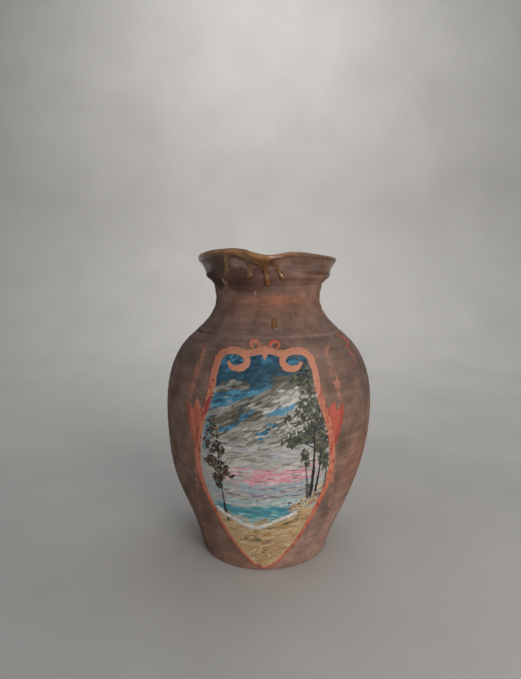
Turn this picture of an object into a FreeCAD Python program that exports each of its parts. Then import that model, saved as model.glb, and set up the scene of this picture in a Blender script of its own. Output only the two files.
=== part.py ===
import FreeCAD, Part
import math
import os

# A thrown earthenware vase, in millimetres. It stands on z = 0 with its axis on Z, and its pouring
# spout and painted panel face -Y. The clay is three thrown sections luted together with slip. The
# collar and the inside carry glaze, and the picture and its border are paint laid on the bare clay.

Vec = FreeCAD.Vector

# ---- clay body ----
FOOT_RADIUS = 61.6            # flat disc that it stands on
FOOT_EDGE_RADIUS = 65.4       # where the rounded foot edge ends
FOOT_EDGE_HEIGHT = 3.5
BELLY_RADIUS = 102.4          # widest radius of the belly
BELLY_HEIGHT = 139.0          # height of the widest radius
NECK_RADIUS = 51.4            # narrowest radius of the neck
NECK_HEIGHT = 254.0           # height of the narrowest radius
WALL = 7.5                    # wall thickness
FLOOR = 10.0                  # floor thickness
FLOOR_CORNER = 12.0           # radius where the floor turns up into the wall inside

# ---- joints between the thrown sections ----
SEAM_HEIGHT = 224.0           # joint between the lower body and the shoulder
SEAM_STEP = 3.0               # height of the lap in that joint
SEAM_STEP_RADIUS = 66.0       # radius of the lap's riser
SLIP = 1.0                    # thickness of the clay slip in the shoulder joint
COLLAR_HEIGHT = 270.0         # underside of the collar
TENON_RADIUS = 52.2           # neck's spigot inside the collar
TENON_HEIGHT = 275.0          # top of that spigot
COLLAR_SLIP = 0.8             # thickness of the slip round the spigot
INMOST = 40.0                 # smaller than any radius of the wall up there, for the shapes that part it

# ---- collar, lip and spout; the widths are those of bell curves, in degrees ----
MOUTH_RADIUS = 44.6           # bore at the top of the neck
LEDGE_RADIUS = 61.5           # lower bead of the collar
FRONT_RISE = 11.0             # the lip rises towards the front and left
FRONT_RISE_ANGLE = -31.0
FRONT_RISE_WIDTH = 51.0
SPOUT_ANGLE = -1.0            # direction of the pinched spout
SPOUT_REACH = 10.8            # how far the spout stands out
SPOUT_WIDTH = 10.0
SPOUT_DIP = 5.5               # how far the lip dips at the spout
SPOUT_DIP_WIDTH = 9.3
LIP_TILT = 1.8                # the right side of the lip is this much higher than the middle
AROUND = 72                   # control points round the collar

# ---- glaze and paint ----
LINER = 0.5                   # glaze inside the body
RIM_GLAZE = 0.8               # amber glaze on the lip
COLLAR_GLAZE = 0.45           # thinner glaze below it
PAINT = 0.4                   # one layer of paint
PANEL_X = -4.0                # centre line of the painted panel
PANEL_TIP = 4.6
VOLUTE_SPACING = 25.0         # centre of each volute from the panel's centre line
VOLUTE_HEIGHT = 205.0
VOLUTE_SQUASH = 0.68          # the volutes are this much lower than round
VOLUTE_START = 15.5           # spiral radius where the volute leaves the border's side
VOLUTE_END = 6.0              # spiral radius at its curled end
VOLUTE_TURN = 340.0           # degrees that the spiral turns through
BORDER = 5.6                  # width of the border's strokes
CURL_SPACING = 9.5            # centre of each small curl on the crest from the panel's centre line
CURL_HEIGHT = 218.0
LAYER_REACH = 130.0           # depth of the prisms that cut the paint's outlines
FRONT_LEFT, FRONT_RIGHT = -80.0, 80.0    # how far the drawing plane reaches
SIDES = (-1, 1)


# ---- curves and sections ----
def spline(points, periodic=False):
    curve = Part.BSplineCurve()
    curve.interpolate([Vec(*p) for p in points], PeriodicFlag=periodic)
    return curve


def in_profile(points):
    """Turn (radius, height) pairs into points of the XZ plane."""
    return [(r, 0, z) for r, z in points]


def offset_points(curve, points, distance):
    """Move points of a profile curve along its normal, away from the axis when distance is positive."""
    moved = []
    for point in points:
        tangent = curve.tangent(curve.parameter(Vec(*point)))[0]
        moved.append((point[0] + tangent.z * distance, 0, point[2] - tangent.x * distance))
    return moved


def revolve(edges):
    face = Part.Face(Part.Wire(edges))
    return face.revolve(Vec(0, 0, 0), Vec(0, 0, 1), 360)


def revolve_polygon(points):
    corners = [Vec(r, 0, z) for r, z in points]
    return revolve(Part.makePolygon(corners + corners[:1]).Edges)


def line(a, b):
    return Part.LineSegment(Vec(*a), Vec(*b)).toShape()


def tidy(shape):
    """Return the shape's solids, as one solid or as a compound."""
    solids = shape.Solids
    if len(solids) == 1:
        return solids[0]
    return Part.makeCompound(solids)


BODY_POINTS = in_profile([
    (FOOT_EDGE_RADIUS, FOOT_EDGE_HEIGHT), (73.6, 30), (93.2, 80), (BELLY_RADIUS, BELLY_HEIGHT), (100.0, 177),
    (84.9, 210.5), (57.6, 238), (NECK_RADIUS, NECK_HEIGHT), (54.2, 272), (54.8, 277)])
BODY_CURVE = spline(BODY_POINTS)
INSIDE_FOOT = FLOOR + FLOOR_CORNER
INSIDE_FOOT_RADIUS = 59.5
INSIDE_POINTS = in_profile([(INSIDE_FOOT_RADIUS, INSIDE_FOOT)]) + offset_points(
    BODY_CURVE, BODY_POINTS[2:-2], -WALL) + in_profile([(MOUTH_RADIUS, 270), (MOUTH_RADIUS + 0.4, 277)])
INSIDE_CURVE = spline(INSIDE_POINTS)
HALFWAY = math.sqrt(0.5)      # sine and cosine of 45 degrees


def floor_corner(depth):
    """Section of the round between the floor and the wall inside, depth above the clay, and its two ends."""
    start = (INSIDE_FOOT_RADIUS - FLOOR_CORNER, 0, FLOOR + depth)
    end = (INSIDE_FOOT_RADIUS - depth, 0, INSIDE_FOOT)
    bulge = FLOOR_CORNER * (1 - HALFWAY) + depth * HALFWAY
    middle = (INSIDE_FOOT_RADIUS - bulge, 0, FLOOR + bulge)
    return Part.Arc(Vec(*start), Vec(*middle), Vec(*end)).toShape(), start, end


def clay_wall():
    """The whole thrown wall, from the foot to the top of the neck, before it is parted at its joints."""
    foot_mid = (FOOT_RADIUS + (FOOT_EDGE_RADIUS - FOOT_RADIUS) * HALFWAY, 0, FOOT_EDGE_HEIGHT * (1 - HALFWAY))
    foot = Part.Arc(Vec(FOOT_RADIUS, 0, 0), Vec(*foot_mid), Vec(*BODY_POINTS[0])).toShape()
    top = line(BODY_POINTS[-1], INSIDE_POINTS[-1])
    corner, corner_start, _ = floor_corner(0)
    floor_top = line(corner_start, (0, 0, FLOOR))
    axis = line((0, 0, FLOOR), (0, 0, 0))
    underside = line((0, 0, 0), (FOOT_RADIUS, 0, 0))
    return revolve([
        underside, foot, BODY_CURVE.toShape(), top, INSIDE_CURVE.toShape(), corner, floor_top, axis])


def liner():
    """The glaze that lines the inside."""
    clay_corner, clay_start, _ = floor_corner(0)
    glaze_corner, glaze_start, glaze_end = floor_corner(LINER)
    points = [glaze_end] + offset_points(INSIDE_CURVE, INSIDE_POINTS[1:], -LINER)
    return revolve([
        line((0, 0, FLOOR), clay_start), clay_corner, INSIDE_CURVE.toShape(),
        line(INSIDE_POINTS[-1], points[-1]), spline(points).toShape(), glaze_corner,
        line(glaze_start, (0, 0, FLOOR + LINER)), line((0, 0, FLOOR + LINER), (0, 0, FLOOR))])


def seam_strip():
    """A stepped layer right through the wall at the shoulder joint."""
    low = SEAM_HEIGHT - SLIP / 2
    high = SEAM_HEIGHT + SLIP / 2
    outer = BELLY_RADIUS
    riser = SEAM_STEP_RADIUS - SLIP
    return revolve_polygon([
        (outer, low), (outer, high), (SEAM_STEP_RADIUS, high), (SEAM_STEP_RADIUS, high + SEAM_STEP),
        (INMOST, high + SEAM_STEP), (INMOST, low + SEAM_STEP), (riser, low + SEAM_STEP), (riser, low)])


def spigot_region():
    """What the neck keeps at its top: all of it below the collar, and the spigot inside the collar."""
    below = Part.makeCylinder(BELLY_RADIUS, COLLAR_HEIGHT - COLLAR_SLIP)
    spigot = Part.makeCylinder(TENON_RADIUS, TENON_HEIGHT)
    return below.fuse(spigot)


def collar_slip_region():
    low = COLLAR_HEIGHT - COLLAR_SLIP
    outer = TENON_RADIUS + COLLAR_SLIP
    top = TENON_HEIGHT + COLLAR_SLIP
    return revolve_polygon([
        (INMOST, TENON_HEIGHT), (TENON_RADIUS, TENON_HEIGHT), (TENON_RADIUS, low), (LEDGE_RADIUS, low),
        (LEDGE_RADIUS, COLLAR_HEIGHT), (outer, COLLAR_HEIGHT), (outer, top), (INMOST, top)])


# ---- collar ----
# Its section at the back, from under the ledge, up the outside, over the lip and down the inside.
COLLAR_SECTION = [
    (54.6, COLLAR_HEIGHT), (55.3, 271.1), (57.4, 273.2), (60.3, 275.3), (LEDGE_RADIUS, 277.2), (60.9, 279.2),
    (61.9, 281.8), (64.0, 284.6), (66.4, 287.0), (67.9, 289.0), (66.9, 291.0), (64.6, 291.0), (62.6, 288.6),
    (59.0, 284.6), (53.0, 280.6), (46.5, 278.4), (MOUTH_RADIUS, 275.6), (MOUTH_RADIUS, COLLAR_HEIGHT)]
OUTSIDE = slice(2, 11)        # the section's points that face outwards
RIPPLE_START = 276.0          # the lip's waves fade out at this height
RIPPLE_FULL = 291.0           # and are full at this one
LEDGE_PLACE = 1.3             # where the glaze starts, counted along the section's control points
BAND_PLACE = 6.8              # where the amber glaze starts
INSIDE_PLACE = 14.25          # where the amber glaze ends, inside the mouth
GLAZE_DEPTHS = [0] + [COLLAR_GLAZE] * 6 + [0.6] + [RIM_GLAZE] * 5 + [0.6] * 3 + [LINER] * 2


def bump(angle, middle, width):
    """A bell curve of height 1 round the direction called middle."""
    away = (angle - middle + 180) % 360 - 180
    return math.exp(-0.5 * (away / width) ** 2)


def shape_lip(radius, height, angle):
    """Move a point of the plain collar section to where the pinched and wavy lip has it."""
    t = min(max((height - RIPPLE_START) / (RIPPLE_FULL - RIPPLE_START), 0), 1)
    weight = t * t * (3 - 2 * t)
    lift = FRONT_RISE * bump(angle, FRONT_RISE_ANGLE, FRONT_RISE_WIDTH)
    lift -= SPOUT_DIP * bump(angle, SPOUT_ANGLE, SPOUT_DIP_WIDTH)
    lift += LIP_TILT * math.sin(math.radians(angle))
    return radius + SPOUT_REACH * bump(angle, SPOUT_ANGLE, SPOUT_WIDTH) * weight, height + lift * weight


def around(radius, height, angle):
    """A point in space; angle 0 faces -Y and 90 faces +X."""
    turn = math.radians(angle)
    return Vec(radius * math.sin(turn), -radius * math.cos(turn), height)


def offset_section(distances):
    """The collar's section moved along its own normal, outwards, by one distance for each point."""
    moved = []
    last = len(COLLAR_SECTION) - 1
    for i, ((r, z), distance) in enumerate(zip(COLLAR_SECTION, distances)):
        r0, z0 = COLLAR_SECTION[max(i - 1, 0)]
        r1, z1 = COLLAR_SECTION[min(i + 1, last)]
        length = math.hypot(r1 - r0, z1 - z0)
        moved.append((r + (z1 - z0) / length * distance, z - (r1 - r0) / length * distance))
    return moved


def skin(section):
    """A smooth surface whose control points run round the axis and along the collar's section."""
    poles = []
    for i in range(AROUND):
        angle = i * 360 / AROUND
        poles.append([around(*shape_lip(r, z, angle), angle) for r, z in section])
    surface = Part.BSplineSurface()
    spans = len(section) - 3
    surface.buildFromPolesMultsKnots(
        poles, [1] * (AROUND + 1), [4] + [1] * (spans - 1) + [4],
        list(range(AROUND + 1)), list(range(spans + 1)), True, False, 3, 3)
    return surface


def solid_of(faces):
    shell = Part.makeShell(faces)
    shell.sewShape()
    solid = Part.Solid(Part.Shell(shell.Faces))
    if solid.Volume < 0:
        solid.reverse()
    return solid


def collar_solid(surface):
    side = surface.toShape()
    rims = [Part.Wire([e]) for e in side.Edges if e.BoundBox.ZLength < 0.01]
    solid = solid_of([side, Part.makeFace(rims, "Part::FaceMakerBullseye")])
    socket = Part.makeCylinder(TENON_RADIUS + COLLAR_SLIP, TENON_HEIGHT + COLLAR_SLIP)
    return tidy(solid.cut(socket))


def glaze_band(clay, glazed, first, last):
    """The glaze between the clay's skin and the glazed skin, from one place of the section to another."""
    faces = [surface.toShape(0, AROUND, first, last) for surface in (clay, glazed)]
    for place in (first, last):
        faces.append(Part.makeRuledSurface(clay.vIso(place).toShape(), glazed.vIso(place).toShape()))
    return solid_of(faces)


# ---- drips ----
DRIP_SLIVER = 12.0            # a drip's offcuts smaller than this, in cubic millimetres, are dropped
DRIP_STATIONS = [(0, 0.9), (0.3, 0.75), (0.6, 0.7), (0.82, 1.0), (0.94, 0.8), (1.0, 0.25)]   # along, width


def outside_radius(angle, height):
    """Outer radius of the neck or collar at a height."""
    if height <= COLLAR_HEIGHT:
        section = line((0, 0, height), (BELLY_RADIUS, 0, height))
        return BODY_CURVE.toShape().distToShape(section)[1][0][0].x
    corners = [shape_lip(r, z, angle) for r, z in COLLAR_SECTION[OUTSIDE]]
    for (r0, z0), (r1, z1) in zip(corners, corners[1:]):
        if z0 <= height <= z1:
            return r0 + (r1 - r0) * (height - z0) / (z1 - z0)
    return corners[0][0]


def drip(start, end, top, bottom, width, proud):
    """A run of glaze down the outside, from angle start at height top to angle end at height bottom."""
    loops = []
    for along, scale in DRIP_STATIONS:
        angle = start + (end - start) * along
        height = top + (bottom - top) * along
        centre = around(outside_radius(angle, height), height, angle)
        outward = around(1, 0, angle)
        major = Vec(0, 0, 1).cross(outward)
        half = width / 2 * scale
        depth = min(proud * scale, half * 0.95)
        oval = Part.Ellipse(centre + major * half, centre + outward * depth, centre)
        loops.append(Part.Wire([oval.toShape()]))
    return Part.makeLoft(loops, True, True)


DRIPS = [
    # start angle, end angle, top, bottom, width, proud
    (-4.5, 0.5, 290, 267.5, 6.5, 2.2),
    (3.0, 13.0, 290, 273.5, 6.0, 1.8),
    (-33.0, -40.0, 296, 277.5, 7.5, 1.6),
    (-49.0, -48.0, 269, 260.5, 6.0, 1.2),
    (-15.0, -17.0, 294, 275.5, 6.5, 1.5),
    (50.0, 58.0, 292, 279.0, 4.5, 1.6),
    (150.0, 153.0, 285, 266.0, 6.0, 1.8),
    (-118.0, -120.0, 287, 275.0, 6.0, 1.6),
    (5.0, 4.0, 241, 230.5, 6.5, 1.3),
]


# ---- paint ----
def paint_layer(level):
    """A skin round the body: level 0 lies on the clay, level 1 on the first layer of paint."""
    low = offset_points(BODY_CURVE, BODY_POINTS, level * PAINT) if level else BODY_POINTS
    high = offset_points(BODY_CURVE, BODY_POINTS, (level + 1) * PAINT)
    inner = spline(low).toShape() if level else BODY_CURVE.toShape()
    return revolve([inner, line(low[-1], high[-1]), spline(high).toShape(), line(high[0], low[0])])


def flat(points):
    """Turn (x, z) pairs into points of the plane that outlines are drawn in."""
    return [(x, 0, z) for x, z in points]


def region(edges):
    return Part.Face(Part.Wire(edges))


def outline(points):
    return region([spline(flat(points), periodic=True).toShape()])


def polygon(points):
    corners = [Vec(x, 0, z) for x, z in points]
    return region(Part.makePolygon(corners + corners[:1]).Edges)


def stroke(points, widths):
    """A brush stroke along a smooth line through the points, with a width at each of them."""
    centre = spline(flat(points))
    left, right = [], []
    for point, width in zip(points, widths):
        tangent = centre.tangent(centre.parameter(Vec(point[0], 0, point[1])))[0]
        dx = tangent.z * width / 2
        dz = -tangent.x * width / 2
        left.append((point[0] - dx, 0, point[1] - dz))
        right.append((point[0] + dx, 0, point[1] + dz))
    return region([
        spline(left).toShape(), line(left[-1], right[-1]), spline(right).toShape(), line(right[0], left[0])])


def dab(x, z, half_width, half_height, lean=0.0):
    """An oval dab of the brush."""
    face = Part.Face(Part.Wire([Part.Ellipse(Vec(0, 0, 0), max(half_width, half_height),
                                             min(half_width, half_height)).toShape()]))
    face.rotate(Vec(0, 0, 0), Vec(1, 0, 0), 90)
    turn = lean if half_width >= half_height else lean + 90
    face.rotate(Vec(0, 0, 0), Vec(0, 1, 0), turn)
    face.translate(Vec(x, 0, z))
    return face


def joined(faces):
    """The area that flat outlines cover together, bounded by the edges that only one of them has."""
    whole = faces[0].multiFuse(faces[1:])
    uses = {}
    for face in whole.Faces:
        for edge in face.Edges:
            uses.setdefault(edge.hashCode(), []).append(edge)
    rim = [edges[0] for edges in uses.values() if len(edges) == 1]
    wires = [Part.Wire(run) for run in Part.sortEdges(rim)]
    return Part.makeFace(wires, "Part::FaceMakerBullseye")


def painted(shape, layer):
    """Lay flat outlines onto the front of the body as a layer of paint."""
    prism = shape.extrude(Vec(0, -LAYER_REACH, 0))
    return tidy(layer.common(prism))


VOLUTE_WIDTHS = [BORDER] * 8 + [5.0, 4.2, 2.6]


def spiral(side):
    """Centre line of a volute, from the border's side over the top and round to its curled end."""
    steps = len(VOLUTE_WIDTHS) - 1
    points = []
    for i in range(steps + 1):
        along = i / steps
        turn = math.radians(175 - VOLUTE_TURN * along)
        reach = VOLUTE_START + (VOLUTE_END - VOLUTE_START) * along ** 0.8
        points.append((PANEL_X + side * (VOLUTE_SPACING - reach * math.cos(turn)),
                       VOLUTE_HEIGHT + VOLUTE_SQUASH * reach * math.sin(turn)))
    return points


# Edge of the panel, from its tip up one side: distance from the centre line, and height. The border's
# stroke along it is broader on the right.
PANEL_EDGE = [(0.6, PANEL_TIP), (13, 12), (31, 37), (46, 70), (57, 101), (59, 126), (55.5, 150), (50, 167),
              (46, 181), (43, 197), (40.2, 205)]
EDGE_WIDTHS = {-1: [1.6, 1.8, 2, 2.4, 3, 4.2, 5.2] + [BORDER] * 4,
               1: [1.8, 2.4, 3, 3.4, 3.8, 4.6, 5.4] + [BORDER] * 4}
CREST_LINE = [(-24, 213.2), (-15, 211.5), (-7, 213.3), (0, 213.6), (7, 213.3), (15, 211.5), (24, 213.2)]
CREST_WIDTHS = [BORDER, 5.4, 5, 5.4, 5, 5.4, BORDER]
CREST_POINT = [(-3.6, 213), (3.6, 213), (0, 207)]        # small tongue under the middle of the crest
PANEL_SHOULDER = (34.8, 211.4)           # top of the panel where a volute's turn begins


def panel_side(side):
    return [(PANEL_X + side * x, z) for x, z in PANEL_EDGE]


def panel_region():
    """The panel inside the middle of its border's strokes."""
    left = flat(panel_side(-1))
    right = flat(panel_side(1))
    crest = flat([(PANEL_X + x, z) for x, z in CREST_LINE])
    shoulders = []
    for side, edge, end in ((-1, left, crest[0]), (1, right, crest[-1])):
        shoulder = (PANEL_X + side * PANEL_SHOULDER[0], 0, PANEL_SHOULDER[1])
        shoulders.append(spline([edge[-1], shoulder, end]).toShape())
    return region([
        spline(left).toShape(), shoulders[0], spline(crest).toShape(), shoulders[1], spline(right).toShape(),
        line(right[0], left[0])])


def border_region():
    faces = []
    for side in SIDES:
        faces.append(stroke(panel_side(side), EDGE_WIDTHS[side]))
        faces.append(stroke(spiral(side), VOLUTE_WIDTHS))
    faces.append(stroke([(PANEL_X + x, z) for x, z in CREST_LINE], CREST_WIDTHS))
    faces.append(polygon([(PANEL_X + x, z) for x, z in CREST_POINT]))
    return joined(faces)


def crest_region(side):
    """A small curl of paint that rises from the crest on one side."""
    steps = 6
    points = []
    for i in range(steps + 1):
        turn = math.radians(200 - 260 * i / steps)
        reach = 5.4 - 3.2 * i / steps
        points.append((PANEL_X + side * (CURL_SPACING + reach * math.cos(turn)),
                       CURL_HEIGHT + reach * 0.75 * math.sin(turn)))
    return stroke(points, [2.6] * len(points))


def leaf_region(side):
    """The broad leaf that grows out of the border at the belly."""
    points = [(57, 121), (62.5, 132), (67.5, 148), (70, 168), (63, 161), (59.5, 171), (54, 163), (51, 168),
              (53, 158), (57.5, 140)]
    return polygon([(PANEL_X + side * x, z) for x, z in points])


def mirrored_stroke(points, widths, side):
    return stroke([(PANEL_X + side * x, z) for x, z in points], widths)


UPPER_FLOURISH = [(54, 212), (59, 196), (64, 182), (66.5, 172), (65.5, 161)]
UPPER_WIDTHS = [2, 3, 3.2, 3, 2]
LOWER_FLOURISH = [(61, 124), (61, 96), (60, 70), (60.5, 44), (54, 12)]
LOWER_WIDTHS = [2, 2, 1.8, 1.8, 1.4]
SHOULDER_TICK = [(64, 221.5), (70, 219), (75, 216), (75.5, 213), (71, 211)]
TICK_WIDTHS = [1.2, 1.8, 2.2, 2, 1.2]
SHOULDER_TAIL = [(74, 208), (79, 204), (80.5, 199), (76, 195)]
TAIL_WIDTHS = [1.2, 1.8, 2, 1.2]
HORIZON = [(FRONT_LEFT, 76), (-30, 77), (16, 76), (30, 80), (48, 92), (FRONT_RIGHT, 108)]
UNDERGROUND = -20.0           # lower than the whole vase, to close the area below the horizon
SEA = [(-46, 75), (-20, 77), (20, 75), (24, 71), (6, 62), (-12, 54), (-22, 57), (-36, 64), (-44, 70)]
FOAM = [(-40, 67), (-28, 61), (-20, 55.5), (-10, 53.5), (4, 60), (22, 69)]
FOAM_WIDTHS = [1.5, 2.5, 3, 3, 2.5, 1.5]
RIGHT_TRUNKS = [
    ([(40, 152), (41, 130), (38, 108), (36.5, 86)], [1.6, 2.0, 2.6, 3.0]),
    ([(46, 140), (44.5, 118), (42, 104), (41, 90)], [1.2, 1.4, 1.6, 1.8]),
    ([(29, 132), (31, 118), (32, 100), (33, 84)], [0.9, 1.0, 1.0, 1.1]),
    ([(49, 128), (49.5, 112), (48, 100), (48, 90)], [1.2, 1.6, 1.8, 2.0])]
RIGHT_LEAVES = [
    # x, z, half width, half height, lean
    (40, 186, 6, 3.2, -35), (30, 191, 9, 4, -10), (41, 172, 5.5, 4.5, 0), (30, 164, 9, 4, -20),
    (40, 153, 11, 6, 10), (24, 149, 8, 3.2, -15), (32, 139, 9, 4.5, 5), (49, 135, 5, 8, 0),
    (48, 118, 3, 9, 0)]
LEFT_TRUNK = ([(-46, 110), (-44, 92), (-40, 74), (-36, 56)], [1.2, 1.2, 2.4, 1.2])
LEFT_LEAVES = [
    (-50, 146, 4.5, 2.6, 0), (-52.5, 136, 3, 2.2, 0), (-44, 131, 3, 7, 12), (-50.5, 119, 5.5, 5, 0),
    (-43.5, 110, 5.5, 5.5, 0), (-43, 96, 2, 3, 0)]


# ---- build ----
def build():
    nodes = {}

    wall = clay_wall()
    strip = seam_strip()
    sections = sorted(wall.cut(strip).Solids, key=lambda s: s.CenterOfMass.z)
    nodes["lower_body"] = sections[0]
    nodes["shoulder_neck"] = tidy(sections[1].common(spigot_region()))
    nodes["shoulder_slip"] = tidy(wall.common(strip))
    nodes["collar_slip"] = tidy(wall.common(collar_slip_region()))
    clay_skin = skin(COLLAR_SECTION)
    glazed_skin = skin(offset_section(GLAZE_DEPTHS))
    nodes["rim_collar"] = collar_solid(clay_skin)
    nodes["interior_glaze"] = liner()

    nodes["collar_glaze"] = glaze_band(clay_skin, glazed_skin, LEDGE_PLACE, BAND_PLACE)
    nodes["rim_glaze"] = glaze_band(clay_skin, glazed_skin, BAND_PLACE, INSIDE_PLACE)

    glazed_collar = collar_solid(glazed_skin)
    drips = []
    for run in DRIPS:
        body = drip(*run)
        for under in (glazed_collar, nodes["collar_slip"], nodes["shoulder_neck"]):
            body = body.cut(under)
        drips += [s for s in body.Solids if s.Volume > DRIP_SLIVER]
    nodes["glaze_drips"] = Part.makeCompound(drips)

    first_coat = paint_layer(0)
    second_coat = paint_layer(1)
    border = border_region()
    field = panel_region().cut(border)
    ground = flat([HORIZON[-1], (FRONT_RIGHT, UNDERGROUND), (FRONT_LEFT, UNDERGROUND), HORIZON[0]])
    below = region([spline(flat(HORIZON)).toShape()] + [line(a, b) for a, b in zip(ground, ground[1:])])
    sea = outline(SEA)
    nodes["sky_paint"] = painted(field.cut(below).cut(sea), first_coat)
    nodes["sea_paint"] = painted(field.common(sea), first_coat)
    nodes["sand_paint"] = painted(field.common(below).cut(sea), first_coat)
    nodes["foam_paint"] = painted(stroke(FOAM, FOAM_WIDTHS).common(field), second_coat)
    right_tree = [stroke(*trunk) for trunk in RIGHT_TRUNKS] + [dab(*leaf) for leaf in RIGHT_LEAVES]
    left_tree = [stroke(*LEFT_TRUNK)] + [dab(*leaf) for leaf in LEFT_LEAVES]
    nodes["right_tree_paint"] = painted(joined(right_tree).common(field), second_coat)
    nodes["left_tree_paint"] = painted(joined(left_tree).common(field), second_coat)
    nodes["border_paint"] = painted(border, first_coat)

    leaves = [max(leaf_region(side).cut(border).Faces, key=lambda face: face.Area) for side in SIDES]
    curls = [crest_region(side).cut(border) for side in SIDES]
    nodes["crest_paint"] = Part.makeCompound([painted(curl, first_coat) for curl in curls])
    for name, leaf, side in zip(("left", "right"), leaves, SIDES):
        nodes[name + "_leaf_paint"] = painted(leaf, first_coat)
        upper = mirrored_stroke(UPPER_FLOURISH, UPPER_WIDTHS, side).cut(leaf)
        lower = mirrored_stroke(LOWER_FLOURISH, LOWER_WIDTHS, side).cut(leaf).cut(border)
        flourish = [painted(upper, first_coat), painted(lower, first_coat)]
        nodes[name + "_flourish_paint"] = Part.makeCompound(flourish)
    ticks = [stroke(SHOULDER_TICK, TICK_WIDTHS), stroke(SHOULDER_TAIL, TAIL_WIDTHS)]
    nodes["shoulder_tick_paint"] = Part.makeCompound([painted(tick, first_coat) for tick in ticks])
    return nodes


os.makedirs("parts", exist_ok=True)
for name, shape in build().items():
    solids = shape.Solids
    volume = sum(s.Volume for s in solids)
    box = shape.BoundBox
    print(f"{name}: {len(solids)} solids, valid {shape.isValid()}, {volume:.0f} mm3, "
          f"z {box.ZMin:.1f} to {box.ZMax:.1f}")
    shape.exportStep(f"parts/{name}.step")
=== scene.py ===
import functools
import math

import bpy
import numpy as np
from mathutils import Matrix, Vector
from mathutils.bvhtree import BVHTree


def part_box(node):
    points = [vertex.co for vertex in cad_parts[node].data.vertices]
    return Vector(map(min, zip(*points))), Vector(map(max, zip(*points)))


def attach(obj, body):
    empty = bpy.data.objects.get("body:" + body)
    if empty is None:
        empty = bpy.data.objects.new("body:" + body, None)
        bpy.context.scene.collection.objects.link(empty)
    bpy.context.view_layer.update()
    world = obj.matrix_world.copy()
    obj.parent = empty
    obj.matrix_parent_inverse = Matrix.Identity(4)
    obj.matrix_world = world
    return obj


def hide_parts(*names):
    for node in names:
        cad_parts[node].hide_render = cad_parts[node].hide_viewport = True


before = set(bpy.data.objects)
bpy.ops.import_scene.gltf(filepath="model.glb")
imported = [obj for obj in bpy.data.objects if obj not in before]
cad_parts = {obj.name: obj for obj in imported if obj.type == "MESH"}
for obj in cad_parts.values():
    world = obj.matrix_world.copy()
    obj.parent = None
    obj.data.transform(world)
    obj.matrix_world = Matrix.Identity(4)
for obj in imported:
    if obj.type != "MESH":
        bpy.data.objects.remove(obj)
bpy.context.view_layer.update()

# Looks of a hand-thrown earthenware vase: matt clay, a glazed collar with runs, and a painted panel.
# Shapes are worked out in millimetres and turned into metres when a mesh is made. Angles round the
# vase are 0 at the front (-Y) and grow towards +X. The clay's radii are measured on the CAD nodes.

MM = 0.001
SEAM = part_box("shoulder_neck")[0].z / MM - 0.5       # middle of the joint on the shoulder
NECK_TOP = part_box("collar_slip")[0].z / MM           # where the neck goes into the collar
PROFILE_STEP, SMOOTHING = 0.5, 9                     # spacing of the kept radii, and how many are averaged
RING_PITCH = 8.84                                    # from one throwing ring to the next
# Height, and how far the hand-thrown axis stands to the right there.
LEAN = [(0, -3.6), (20, -2.8), (45, -1.5), (80, -1.6), (120, 0.2), (160, 1.1), (200, 0.8), (240, 0.2),
        (262, 0.0), (275, 0.4), (283, 0.0), (292, -1.4), (300, -1.4)]


# ---- noise ----
def smoothstep(low, high, value):
    t = np.clip((value - low) / (high - low), 0, 1)
    return t * t * (3 - 2 * t)


def full_turn(count):
    """Even angles round a circle."""
    return np.arange(count) * 2 * math.pi / count


def spaced(along, values):
    """The value at each place along a line, from values at even spaces from 0 to 1."""
    return np.interp(along, np.linspace(0, 1, len(values)), values)


@functools.cache
def lattice(seed):
    return np.random.default_rng(seed).uniform(-1, 1, (256, 256))


def noise(u, v, seed, wrap=256):
    """Smooth value noise from -1 to 1 on a unit lattice; u repeats after wrap cells."""
    table = lattice(seed)
    u, v = np.broadcast_arrays(np.asarray(u, float), np.asarray(v, float))
    iu, iv = np.floor(u).astype(int), np.floor(v).astype(int)
    fu, fv = u - iu, v - iv
    fu, fv = fu * fu * (3 - 2 * fu), fv * fv * (3 - 2 * fv)
    left, right, low, high = iu % wrap % 256, (iu + 1) % wrap % 256, iv % 256, (iv + 1) % 256
    a, b, c, d = table[left, low], table[right, low], table[left, high], table[right, high]
    return (a * (1 - fu) + b * fu) * (1 - fv) + (c * (1 - fu) + d * fu) * fv


def layered(angle, height, cells, rise, seed, octaves=3):
    """Noise round the vase: cells patches in a full turn, each about rise millimetres tall."""
    value = 0
    for k in range(octaves):
        value = value + noise(angle / (2 * math.pi) * cells * 2 ** k, height / rise * 2 ** k,
                              seed + k, cells * 2 ** k) / 2 ** k
    return value / (2 - 0.5 ** (octaves - 1))


# ---- shape of the clay, measured on the frame ----
def tree_of(node):
    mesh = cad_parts[node].data
    mesh.calc_loop_triangles()
    return BVHTree.FromPolygons([v.co for v in mesh.vertices], [t.vertices[:] for t in mesh.loop_triangles])


def radii_of(node, heights, inside=False):
    """Radius of a turned node at each height, taken at the back, where nothing is painted."""
    tree = tree_of(node)
    start, way = (0.0, 1.0) if inside else (0.2, -1.0)
    hits = [tree.ray_cast(Vector((0, start, z * MM)), Vector((0, way, 0)))[0] for z in heights]
    return np.array([hit.y / MM for hit in hits])


def profile(lower_heights, upper_heights, inside):
    """Even heights and the smoothed radius at each, over both thrown sections."""
    heights = np.concatenate([lower_heights, upper_heights])
    radii = np.concatenate([radii_of("lower_body", lower_heights, inside),
                            radii_of("shoulder_neck", upper_heights, inside)])
    even = np.arange(heights[0], heights[-1] + PROFILE_STEP, PROFILE_STEP)
    radius = np.interp(even, heights, radii)
    end = SMOOTHING // 2
    radius[end:-end] = np.convolve(radius, np.ones(SMOOTHING) / SMOOTHING, "valid")
    return even, radius


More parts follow.
